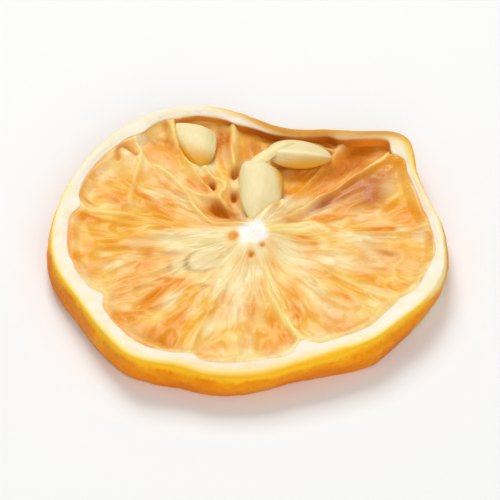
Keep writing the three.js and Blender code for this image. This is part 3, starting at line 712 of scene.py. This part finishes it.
def makeFilm(material):
    # a flat oval section, bent down at both edges and banked, is carried along a smooth path
    count = film["rows"]
    path = smoothPath(film["path"], count)
    closing = np.sqrt(np.maximum(0, 1 - np.abs(np.linspace(-1, 1, count)) ** film["bluntness"]))
    halfWidth = alongThree(film["halfWidth"], count)
    ahead = np.gradient(path, axis=0)
    ahead /= np.linalg.norm(ahead, axis=1)[:, None]
    sideways = np.cross([0, 0, 1], ahead)
    sideways /= np.linalg.norm(sideways, axis=1)[:, None]
    over = np.cross(ahead, sideways)
    tilt = math.radians(film["bank"])
    level, upright = sideways, over
    sideways = math.cos(tilt) * level - math.sin(tilt) * upright
    over = math.cos(tilt) * upright + math.sin(tilt) * level
    turn = np.arange(film["around"]) / film["around"] * 2 * np.pi
    wide = (halfWidth * closing)[:, None, None] * np.cos(turn)[None, :, None] * sideways[:, None, :]
    rise = film["halfThickness"] * closing[:, None] * np.sin(turn) - film["drape"] * np.cos(turn) ** 2
    thick = rise[:, :, None] * over[:, None, :]
    points = (path[:, None, :] + wide + thick)[1:-1]
    length = np.cumsum(np.append(0, np.linalg.norm(np.diff(path, axis=0), axis=1)))[1:-1]
    attributes = {"grain": ringGrain(1, turn, length[:, None] / film["grainLength"])}
    piece = closedSurface("film_over_pips", points, [path[0], path[-1]], attributes)
    dress(piece, material, "slice")


# The rind: pith ring and peel.

rind = {
    "columns": 900,
    "rows": {"wall": 8, "crown": 20, "edge": 7, "peel": 34, "lowerEdge": 6, "sole": 12, "lowerWall": 5},
    "anchor": 0.5,  # how far its walls reach on into the flesh
    # relief: how often round the slice, the length of a step, and the depth
    "cutWaver": {"around": 40, "from": 1.5, "depth": 0.09},  # how unevenly the knife left the rim's height
    "lumps": [{"around": 90, "length": 1.2, "from": 7, "depth": 0.07},
              {"around": 220, "length": 0.5, "from": 3, "depth": 0.035}],
    "creases": {"around": 30, "length": 1.3, "depth": 0.12, "lean": 0.1},
    "fineCreases": {"around": 150, "length": 0.8, "depth": 0.06},
    "pores": {"around": 150, "length": 0.95, "depth": 0.06, "radius": 0.2},
    # colour, each swell (direction, amount, spread): how far in the peel's colour starts to fade, over
    # what width, where the rind has painted shade in the slits under the back rim, where it is golden all
    # over (a painted shadow at the back, its own tint at the front), where it is golden at the edge, and
    # where it has painted shade low on the peel
    "edge": {"start": 0.12, "swells": [(275, 0.15, 30), (70, 0.3, 30), (0, -0.2, 20), (140, -0.3, 34),
                                       (109, -0.25, 14), (301, 0.25, 9), (342, -0.25, 12)]},
    "fade": {"run": 0.5, "swells": [(270, 0.9, 36), (75, 0.4, 22), (45, 0.6, 12), (118, -0.1, 16)]},
    # painted shade in the slits and the pocket under the back rim, at 62 and 84 degrees, with less at 100
    "slitShade": [(62, 1, 7), (84, 0.9, 9), (100, 0.3, 10)],
    # golden: at 66 and 50 degrees a painted shadow that turns the back of the ring golden tan, at 268 the
    # pith's own cream tint
    "goldenAndShadow": [(66, 0.85, 13), (50, 0.3, 8), (268, 0.14, 22)],
    "goldenEdge": [(84, 0.8, 11), (46, 0.5, 9)],
    # painted shade: where the peel is darker low down, most on the left at 196 degrees
    "peelShade": [(196, 0.9, 10), (150, 0.4, 30), (247, 0.3, 6), (290, 0.3, 8), (320, 0.5, 14)],
    "mottle": [{"around": 60, "length": 1.6, "depth": 1}, {"around": 140, "length": 0.8, "depth": 0.6}],
    "grainRadius": 24,
}


def rindRow(zone, t, column):
    # the section's outline, zone by zone: w is how far in from the peel, the height, and how far the
    # peel's foot is flared out
    outer = column["outer"]
    width, rounding = pithWidth(column), lemon["edgeRounding"]
    upper = rimZ(outer) + ringNoise(rind["cutWaver"], outer / 360, 0 * outer, 1)
    lower = footZ(outer)
    flare = swellAt(lemon["flareSwells"], outer)
    deep = column["sink"] * ringShare(column["sink"]) + rind["anchor"]
    quarter = t * np.pi / 2
    if zone == "wall":
        w = width - pith["wallRun"] * t
        rise = np.sqrt(1 - (1 - t) ** 2)
        return w, lerp(upper - deep, upper - pith["slope"], rise), 0 * flare
    if zone == "crown":
        w = lerp(width - pith["wallRun"], rounding, t)
        return w, upper - pith["slope"] * (1 - t) ** 2, 0 * flare
    if zone == "edge":
        return rounding * (1 - np.sin(quarter)), upper - rounding * (1 - np.cos(quarter)), 0 * flare
    if zone == "peel":
        bulge = lemon["peelBulge"] * np.sin(np.pi * t)
        return -bulge + 0 * outer, lerp(upper - rounding, lower + rounding, t), flare * t
    if zone == "lowerEdge":
        return rounding * (1 - np.cos(quarter)) + 0 * outer, lower + rounding * (1 - np.sin(quarter)), flare
    if zone == "sole":
        return lerp(rounding, width - pith["wallRun"], t), lower + 0 * outer, flare
    w = width - pith["wallRun"] * (1 - t)
    return w, lower + (flesh["underSink"] + rind["anchor"]) * (1 - np.sqrt(1 - t ** 2)), flare


def makeRind(material):
    # the section carried round the slice, closed inside the flesh
    column = columnsRound(rind["columns"])
    outer = column["outer"]
    marks = [(zone, k / count) for zone, count in rind["rows"].items() for k in range(count)]
    marks.append(("lowerWall", 1.0))
    sections = [np.broadcast_arrays(*rindRow(zone, t, column)) for zone, t in marks]
    w, z, stand = (np.array([section[k] for section in sections]) for k in range(3))
    zone = np.array([mark[0] for mark in marks])[:, None]

    lap = outer / 360
    pores, creases = rind["pores"], rind["creases"]
    onPith = np.isin(zone, ["wall", "crown", "edge"]) * smoothstep(w, 0.1, 0.7)
    z = z + onPith * sum(ringNoise(lump, lap, w, 2 + k) for k, lump in enumerate(rind["lumps"]))
    onPeel = np.isin(zone, ["edge", "peel", "lowerEdge"]) * (1 - smoothstep(w, 0.1, 0.4))
    nearest, _, _ = cellNoise(lap * pores["around"] + 0 * w, z / pores["length"], 0, pores["around"])
    pore = np.exp(-((nearest * pores["length"] / pores["radius"]) ** 2))
    crease = ringNoise(creases, lap, z, 4, creases["lean"] * z) + ringNoise(rind["fineCreases"], lap, z, 5)
    w = w + onPeel * (pores["depth"] * pore + crease)

    g = 1 - w / column["reach"]
    x, y = planPoint(outer + 0 * w, g, stand)
    points = np.stack([x, y, z], axis=-1)
    crownZ = rimZ(outer) - pith["slope"]
    mottle = sum(ringNoise(pattern, lap, z, 6 + k) for k, pattern in enumerate(rind["mottle"]))
    faded = w - rind["edge"]["start"] - swellAt(rind["edge"]["swells"], outer)
    goldenEdge = swellAt(rind["goldenEdge"], outer) * (1 - smoothstep(w, 0.7, 1.5))
    goldenAndShadow = np.clip(swellAt(rind["goldenAndShadow"], outer) + goldenEdge, 0, 1)
    attributes = {
        "depth": w,
        "edge": faded / (rind["fade"]["run"] + swellAt(rind["fade"]["swells"], outer)),
        "drop": (rimZ(outer) - z) / lemon["rimHeight"],
        "lining": (zone == "wall") * smoothstep(crownZ - z, 0.1, 0.35),
        "pore": pore * onPeel,
        "mottle": mottle,
        "slitShade": np.clip(swellAt(rind["slitShade"], outer) + 0.2 * mottle, 0, 1),
        "goldenAndShadow": smoothstep(w, -0.1, 0.3) * goldenAndShadow,
        "peelShade": np.clip(swellAt(rind["peelShade"], outer) + 0 * w, 0, 1),
        "grain": ringGrain(rind["grainRadius"], np.radians(outer), z - w),
    }
    dress(closedSurface("rind", points, None, attributes), material, "slice")


# The pips.

# The powers say how each end closes: below 1 it is blunt, above 1 it is drawn out to a point. "lean"
# makes the blunt end wider, "bend" bows the middle sideways, and "skew" shears the blunt end. Facets are
# (direction of the facet's normal round the section, how far out it lies), for a section whose half
# width and half thickness are 1. +90 is up, and "sharpness" keeps their edges. A pip turns amber along
# "amber": a direction, and how far from its middle that starts and is complete. The crest is a painted
# highlight, a pale line along the pip's ridge: its direction round the section, and how plain it is.
pipShared = {
    "rows": 110,
    "columns": 96,
    "ribs": {"count": 17, "height": 0.006, "twist": 2.5},
    "lumps": {"around": 7, "along": 5, "depth": 0.03},
    "crestHighlightSpread": 9,
    "grain": {"radius": 2.2, "length": 2},
}
pips = {
    "pip_beside_core": {
        "length": 10.0, "width": 5.6, "thickness": 2.8,
        "at": (1.15, 8.7, 3.4), "yaw": 85, "pitch": -3, "roll": 8,
        "tipPower": 1.3, "bluntPower": 0.42, "lean": 0.3, "bend": -0.45, "skew": 0.15, "sharpness": 5,
        "amber": ((0.6, 0.4, -1), 1.0, 2.6), "crestHighlight": (100, 0.0),
        "facets": [(60, 0.92), (125, 0.94), (185, 1.0), (245, 0.95), (300, 0.95), (355, 1.0)],
    },
    "pip_back_right": {
        "length": 8.0, "width": 5.2, "thickness": 2.8,
        "at": (6.35, 15.8, 3.4), "yaw": -4, "pitch": 3, "roll": -8,
        "tipPower": 0.95, "bluntPower": 1.0, "lean": -0.16, "bend": 0.15, "skew": 0.0, "sharpness": 12,
        "amber": ((0.1, -0.9, -0.4), 0.1, 1.9), "crestHighlight": (116, 0.6),
        "facets": [(78, 0.76), (152, 0.84), (215, 0.95), (275, 0.9), (338, 0.94), (24, 0.96)],
    },
    "pip_back_left": {
        "length": 7.4, "width": 5.3, "thickness": 2.4,
        "at": (-6.1, 17.5, 3.1), "yaw": 99, "pitch": 5, "roll": 4,
        "tipPower": 1.0, "bluntPower": 0.13, "lean": 0.34, "bend": 0.0, "skew": 0.45, "sharpness": 7,
        "amber": ((-0.45, -0.85, -0.3), -0.8, 2.2), "crestHighlight": (75, 0.0),
        "facets": [(75, 0.9), (135, 0.97), (190, 1.0), (250, 0.95), (310, 0.95), (10, 1.0)],
    },
}


def turned(points, yaw, pitch, roll):
    # rolled about X, then pitched about Y, then yawed about Z
    a, b, c = (math.radians(angle) for angle in (yaw, pitch, roll))
    aboutZ = np.array([[math.cos(a), -math.sin(a), 0], [math.sin(a), math.cos(a), 0], [0, 0, 1]])
    aboutY = np.array([[math.cos(b), 0, math.sin(b)], [0, 1, 0], [-math.sin(b), 0, math.cos(b)]])
    aboutX = np.array([[1, 0, 0], [0, math.cos(c), -math.sin(c)], [0, math.sin(c), math.cos(c)]])
    return points @ (aboutZ @ aboutY @ aboutX).T


def makePip(name, pip, material, layer):
    # a drop along X with its tip at -X: a rounded many-sided section, tapered to both ends, with fine ribs
    v = (np.arange(1, pipShared["rows"] + 1) / (pipShared["rows"] + 1))[:, None]
    around = (np.arange(pipShared["columns"]) / pipShared["columns"] * 2 * np.pi)[None, :]
    power = pip["sharpness"]
    sides = [np.maximum(0, np.cos(around - math.radians(n))) / far for n, far in pip["facets"]]
    section = sum(side ** power for side in sides) ** (-1 / power)
    taper = np.sin(np.pi * v) ** lerp(pip["tipPower"], pip["bluntPower"], smoothstep(v, 0.1, 0.7))
    taper = taper * (1 - pip["lean"] * np.cos(np.pi * v))
    taper = taper / taper.max()
    ribs, lumps, grain = pipShared["ribs"], pipShared["lumps"], pipShared["grain"]
    rib = np.sin(ribs["count"] * around + ribs["twist"] * np.sin(2 * np.pi * v)) * np.sin(np.pi * v)
    lump = ringNoise(lumps, around / (2 * np.pi), v * lumps["along"] + layer * 3, layer)
    radius = section * taper * (1 + ribs["height"] * rib + lump)
    y = pip["width"] / 2 * radius * np.cos(around)
    x = -pip["length"] / 2 * np.cos(np.pi * v) + pip["skew"] * y * smoothstep(v, 0.2, 1)
    y = y + pip["bend"] * np.sin(np.pi * v)
    z = pip["thickness"] / 2 * radius * np.sin(around)
    middle = np.array(pip["at"])
    turns = pip["yaw"], pip["pitch"], pip["roll"]
    points = turned(np.stack([x, y, z], axis=-1), *turns)
    ends = turned(np.array([[-pip["length"] / 2, 0, 0], [pip["length"] / 2, 0, 0]]), *turns)
    direction, start, full = pip["amber"]
    crestAt, crestHighlight = pip["crestHighlight"]
    attributes = {
        "crestHighlight": crestHighlight * np.exp(-(((np.degrees(around) - crestAt) / pipShared["crestHighlightSpread"]) ** 2)) + 0 * v,
        "amber": smoothstep(points @ np.array(direction, dtype=float), start, full),
        "grain": np.roll(ringGrain(grain["radius"], around, x / grain["length"]), 1, axis=-1),
    }
    piece = closedSurface(name + "_dried", points + middle, ends + middle, attributes)
    dress(piece, material, name)


# Materials.

def srgb(red, green, blue):
    # a display colour, 0 to 255, as the linear one that a shader takes
    values = np.array([red, green, blue]) / 255
    linear = np.where(values <= 0.04045, values / 12.92, ((values + 0.055) / 1.055) ** 2.4)
    return (*linear.tolist(), 1.0)


def addNode(tree, kind, inputs=None, **settings):
    node = tree.nodes.new(kind)
    for key, value in settings.items():
        setattr(node, key, value)
    for key, value in (inputs or {}).items():
        if isinstance(value, bpy.types.NodeSocket):
            tree.links.new(value, node.inputs[key])
        else:
            node.inputs[key].default_value = value
    return node


def attribute(tree, name, output="Fac"):
    return addNode(tree, "ShaderNodeAttribute", attribute_name=name).outputs[output]


def mixed(tree, share, a, b):
    # colour a, going over to colour b as share goes from 0 to 1; sockets 6 and 7 are those for colours
    node = addNode(tree, "ShaderNodeMix", {0: share, 6: a, 7: b}, data_type="RGBA")
    return node.outputs[2]


def scaled(tree, value, low, high, toLow=0.0, toHigh=1.0):
    node = addNode(tree, "ShaderNodeMapRange", {0: value, 1: low, 2: high, 3: toLow, 4: toHigh})
    return node.outputs[0]


def combined(tree, operation, a, b, clamp=False):
    node = addNode(tree, "ShaderNodeMath", {0: a, 1: b}, operation=operation, use_clamp=clamp)
    return node.outputs[0]


def grainGroup():
    # uneven tone and height of a dried surface: broad blotches and fine grain, both from one place
    tree = bpy.data.node_groups.new("driedGrain", "ShaderNodeTree")
    for name, kind in (("Place", "Vector"), ("Scale", "Float"), ("Detail", "Float")):
        tree.interface.new_socket(name, in_out="INPUT", socket_type="NodeSocket" + kind)
    for name in ("Blotch", "Grain", "Height"):
        tree.interface.new_socket(name, in_out="OUTPUT", socket_type="NodeSocketFloat")
    given, result = addNode(tree, "NodeGroupInput"), addNode(tree, "NodeGroupOutput")
    blotch = addNode(tree, "ShaderNodeTexNoise", {
        "Vector": given.outputs["Place"], "Scale": given.outputs["Scale"], "Detail": 3.0, "Roughness": 0.55})
    finer = combined(tree, "MULTIPLY", given.outputs["Scale"], given.outputs["Detail"])
    grain = addNode(tree, "ShaderNodeTexNoise", {
        "Vector": given.outputs["Place"], "Scale": finer, "Detail": 4.0, "Roughness": 0.6, "Distortion": 0.6})
    broad = combined(tree, "MULTIPLY", blotch.outputs[0], 0.35)
    height = combined(tree, "ADD", broad, grain.outputs[0])
    tree.links.new(blotch.outputs[0], result.inputs["Blotch"])
    tree.links.new(grain.outputs[0], result.inputs["Grain"])
    tree.links.new(height, result.inputs["Height"])
    return tree


def startMaterial(name, finish):
    material = bpy.data.materials.new(name)
    material.use_nodes = True
    tree = material.node_tree
    tree.nodes.clear()
    shader = addNode(tree, "ShaderNodeBsdfPrincipled", finish)
    output = addNode(tree, "ShaderNodeOutputMaterial")
    tree.links.new(shader.outputs[0], output.inputs["Surface"])
    return material, tree, shader


def placeGrain(tree, group, scale, detail):
    inputs = {"Place": attribute(tree, "grain", "Vector"), "Scale": scale, "Detail": detail}
    return addNode(tree, "ShaderNodeGroup", inputs, node_tree=group)


def stretched(tree, grain, toLow, toHigh, output="Grain"):
    # the noise mostly lies between 0.3 and 0.7
    return scaled(tree, grain.outputs[output], 0.3, 0.7, toLow, toHigh)


def connect(tree, shader, sources, grain, strength, distance):
    # what feeds the shader, and a bump of the grain's height
    height = {"Strength": strength, "Distance": distance, "Height": grain.outputs["Height"]}
    bump = addNode(tree, "ShaderNodeBump", height)
    for name, source in {**sources, "Normal": bump.outputs[0]}.items():
        tree.links.new(source, shader.inputs[name])


fleshColours = {
    "deep": srgb(236, 154, 24),
    "amber": srgb(243, 186, 64),
    "light": srgb(249, 213, 122),
    "orange": srgb(236, 150, 30),
    "pale": srgb(249, 232, 180),
    "wall": srgb(255, 228, 146),
    # mauve, also used for the painted shadow below the membrane at 41 degrees
    "mauveAndShadow": srgb(196, 114, 60),
    # brown, also used as painted shade in the hole, the pits, the slits and the deep trough
    "brownAndShade": srgb(200, 110, 4),
    "grey": srgb(198, 166, 108),
    "membrane": srgb(254, 226, 144),
    "film": srgb(251, 232, 168),
    "white": srgb(255, 254, 246),
}


def makeFleshMaterial(group):
    material, tree, shader = startMaterial("driedFlesh", {
        "Subsurface Weight": 0.4, "Subsurface Radius": (1.0, 0.6, 0.3), "Subsurface Scale": 0.0007,
        "Coat Roughness": 0.16, "Specular IOR Level": 0.16, "Specular Tint": (1.0, 0.8, 0.45, 1)})
    grain = placeGrain(tree, group, 1.3, 3.2)
    blotch = stretched(tree, grain, -0.35, 0.35, "Blotch")
    tone = combined(tree, "ADD", attribute(tree, "tone"), blotch)
    tone = combined(tree, "ADD", tone, stretched(tree, grain, -0.25, 0.25))
    colour = mixed(tree, scaled(tree, tone, -0.9, 0.05), fleshColours["deep"], fleshColours["amber"])
    colour = mixed(tree, scaled(tree, tone, 0.0, 0.95), colour, fleshColours["light"])
    uneven = stretched(tree, grain, 0.75, 1.25)
    # brown and mauve also carry painted shade: in the hole, pits, slits and trough, and below a membrane
    for kind in ("pale", "wall", "orange", "mauveAndShadow", "brownAndShade"):
        share = combined(tree, "MULTIPLY", attribute(tree, kind), uneven, clamp=True)
        colour = mixed(tree, share, colour, fleshColours[kind])
    # painted glints: pale flecks where the grain is high, standing in for highlights on the flesh
    paintedGlints = scaled(tree, grain.outputs["Grain"], 0.6, 0.72, 0, 0.6)
    paintedGlints = combined(tree, "MULTIPLY", paintedGlints, attribute(tree, "paintedGlint"), clamp=True)
    colour = mixed(tree, paintedGlints, colour, fleshColours["pale"])
    for kind in ("grey", "membrane", "white"):
        colour = mixed(tree, attribute(tree, kind), colour, fleshColours[kind])
    glaze = scaled(tree, attribute(tree, "brownAndShade"), 0, 0.7, 0.16, 0)
    sources = {"Base Color": colour, "Coat Weight": glaze, "Roughness": stretched(tree, grain, 0.32, 0.6)}
    connect(tree, shader, sources, grain, 0.3, 0.0003)
    return material


def makeFilmMaterial(group):
    # thin dry skin, so without any subsurface light
    material, tree, shader = startMaterial("driedFilm", {"Specular IOR Level": 0.3, "Roughness": 0.5})
    grain = placeGrain(tree, group, 1.2, 3.0)
    shade = scaled(tree, grain.outputs["Blotch"], 0.35, 0.65)
    colour = mixed(tree, shade, pipColours["cream"], fleshColours["film"])
    connect(tree, shader, {"Base Color": colour}, grain, 0.3, 0.0002)
    return material


rindColours = {
    "pith": srgb(252, 246, 228),
    "pithShade": srgb(251, 240, 206),
    "cream": srgb(255, 236, 160),
    "goldenAndShadow": srgb(216, 150, 62),
    "flavedo": srgb(255, 196, 36),
    "peel": srgb(245, 154, 6),
    # towards the peel's foot: a deeper orange, partly painted shade
    "peelLow": srgb(240, 140, 4),
    "peelDarkAndShade": srgb(222, 108, 2),
    "pore": srgb(226, 118, 2),
    "lining": srgb(230, 146, 46),
    "liningShade": srgb(160, 66, 0),
}


def makeRindMaterial(group):
    material, tree, shader = startMaterial("driedRind", {
        "Subsurface Weight": 0.1, "Subsurface Radius": (1.0, 0.6, 0.3), "Subsurface Scale": 0.0005,
        "Specular IOR Level": 0.14, "Specular Tint": (1.0, 0.88, 0.65, 1)})
    grain = placeGrain(tree, group, 0.45, 6.0)
    shade = scaled(tree, grain.outputs["Blotch"], 0.42, 0.62)
    white = mixed(tree, shade, rindColours["pith"], rindColours["pithShade"])

    # the peel, from its foot to its upper edge: a deeper orange towards its foot, and darker low down on some
    # sides, which is painted shade, with its own mottling
    drop = attribute(tree, "drop")
    mottle = combined(tree, "ADD", attribute(tree, "mottle"), stretched(tree, grain, -0.5, 0.5))
    zest = mixed(tree, scaled(tree, drop, 0.25, 0.85), rindColours["peel"], rindColours["peelLow"])
    peelShadeAndMottle = combined(tree, "MULTIPLY", attribute(tree, "peelShade"), scaled(tree, drop, 0.15, 0.6))
    peelShadeAndMottle = combined(tree, "ADD", peelShadeAndMottle, scaled(tree, mottle, 0.0, 1.4, 0, 0.4), clamp=True)
    zest = mixed(tree, peelShadeAndMottle, zest, rindColours["peelDarkAndShade"])
    zest = mixed(tree, scaled(tree, mottle, -0.1, -1.2, 0, 0.35), zest, rindColours["flavedo"])
    pores = scaled(tree, attribute(tree, "pore"), 0, 1, 0, 0.4)
    zest = mixed(tree, pores, zest, rindColours["pore"])
    wavering = combined(tree, "ADD", drop, scaled(tree, mottle, -1, 1, -0.05, 0.05))
    zest = mixed(tree, scaled(tree, wavering, 0.1, 0.24), rindColours["flavedo"], zest)

    # over its edge to the pith, and down to the flesh
    fade = attribute(tree, "edge")
    edge = mixed(tree, scaled(tree, fade, 0.0, 0.6), zest, rindColours["cream"])
    colour = mixed(tree, scaled(tree, fade, 0.5, 1.4), edge, white)
    # golden over the ring: a painted shadow at the back, the pith's own tint at the front
    colour = mixed(tree, attribute(tree, "goldenAndShadow"), colour, rindColours["goldenAndShadow"])
    # the wall's lower part, darkened to painted shade in the slits under the back rim
    lining = mixed(tree, attribute(tree, "slitShade"), rindColours["lining"], rindColours["liningShade"])
    colour = mixed(tree, attribute(tree, "lining"), colour, lining)
    roughness = scaled(tree, attribute(tree, "depth"), 0.1, 0.6, 0.5, 0.85)
    connect(tree, shader, {"Base Color": colour, "Roughness": roughness}, grain, 0.35, 0.0003)
    return material


pipColours = {
    "cream": srgb(239, 223, 170),
    "green": srgb(230, 215, 154),
    "amber": srgb(226, 162, 26),
    "crestHighlight": srgb(250, 238, 190),
}


def makePipMaterial(group):
    material, tree, shader = startMaterial("driedPip", {
        "Subsurface Weight": 0.12, "Subsurface Radius": (1.0, 0.7, 0.35), "Subsurface Scale": 0.0005,
        "Specular IOR Level": 0.35})
    grain = placeGrain(tree, group, 0.7, 5.0)
    shade = scaled(tree, grain.outputs["Blotch"], 0.4, 0.65)
    colour = mixed(tree, shade, pipColours["cream"], pipColours["green"])
    # the crest line is a painted highlight along the pip's ridge
    for kind in ("amber", "crestHighlight"):
        colour = mixed(tree, attribute(tree, kind), colour, pipColours[kind])
    sources = {"Base Color": colour, "Roughness": stretched(tree, grain, 0.38, 0.6)}
    connect(tree, shader, sources, grain, 0.25, 0.0002)
    return material


# Camera, floor and light.

studio = {
    "elevation": 43.5,
    "distance": 0.62,
    "frameWidth": 0.0605,
    "aim": (0.0003, 0.0006, 0.0018),
    "clip": (0.01, 20),
    "floor": {"size": 3.0, "finish": {"Base Color": (0.9, 0.92, 0.94, 1), "Roughness": 0.9}},
    "world": {"strength": 0.42, "colour": (1.0, 0.95, 0.88, 1)},
    "key": {"at": (-0.12, 0.5, 0.55), "size": 0.35, "power": 3.5, "colour": (1.0, 1.0, 1.0)},
    "fill": {"at": (0.1, -0.55, 0.4), "size": 0.6, "power": 2.1, "colour": (1.0, 1.0, 1.0)},
}


def makeStudio():
    aim = Vector(studio["aim"])
    camera = bpy.data.objects.new("camera", bpy.data.cameras.new("camera"))
    bpy.context.collection.objects.link(camera)
    tilt = math.radians(studio["elevation"])
    back = Vector((0, -math.cos(tilt), math.sin(tilt)))
    camera.location = aim + back * studio["distance"]
    camera.rotation_euler = (-back).to_track_quat("-Z", "Y").to_euler()
    camera.data.lens = camera.data.sensor_width * studio["distance"] / studio["frameWidth"]
    camera.data.clip_start, camera.data.clip_end = studio["clip"]
    bpy.context.scene.camera = camera

    half = studio["floor"]["size"] / 2
    corners = [(-half, -half, 0), (half, -half, 0), (half, half, 0), (-half, half, 0)]
    mesh = bpy.data.meshes.new("floor")
    mesh.from_pydata(corners, [], [(0, 1, 2, 3)])
    floor = bpy.data.objects.new("floor", mesh)
    bpy.context.collection.objects.link(floor)
    paper, _, _ = startMaterial("paleFloor", studio["floor"]["finish"])
    mesh.materials.append(paper)

    for name in ("key", "fill"):
        lamp = studio[name]
        light = bpy.data.objects.new(name, bpy.data.lights.new(name, "AREA"))
        light.data.energy, light.data.size, light.data.color = lamp["power"], lamp["size"], lamp["colour"]
        light.location = lamp["at"]
        light.rotation_euler = (aim - light.location).to_track_quat("-Z", "Y").to_euler()
        bpy.context.collection.objects.link(light)
    world = bpy.data.worlds.new("studio")
    bpy.context.scene.world = world
    world.use_nodes = True
    background = world.node_tree.nodes["Background"]
    background.inputs[0].default_value = studio["world"]["colour"]
    background.inputs[1].default_value = studio["world"]["strength"]
    bpy.context.scene.view_settings.view_transform = "Standard"


makeStudio()
print("studio ready")
group = grainGroup()
fleshMaterial, filmMaterial = makeFleshMaterial(group), makeFilmMaterial(group)
rindMaterial, pipMaterial = makeRindMaterial(group), makePipMaterial(group)
print("materials ready")
makeFlesh(fleshMaterial, pips.values())
print("flesh ready")
makeFilm(filmMaterial)
print("film ready")
makeRind(rindMaterial)
print("rind ready")
for layer, (name, pip) in enumerate(pips.items()):
    makePip(name, pip, pipMaterial, layer)
print("pips ready")
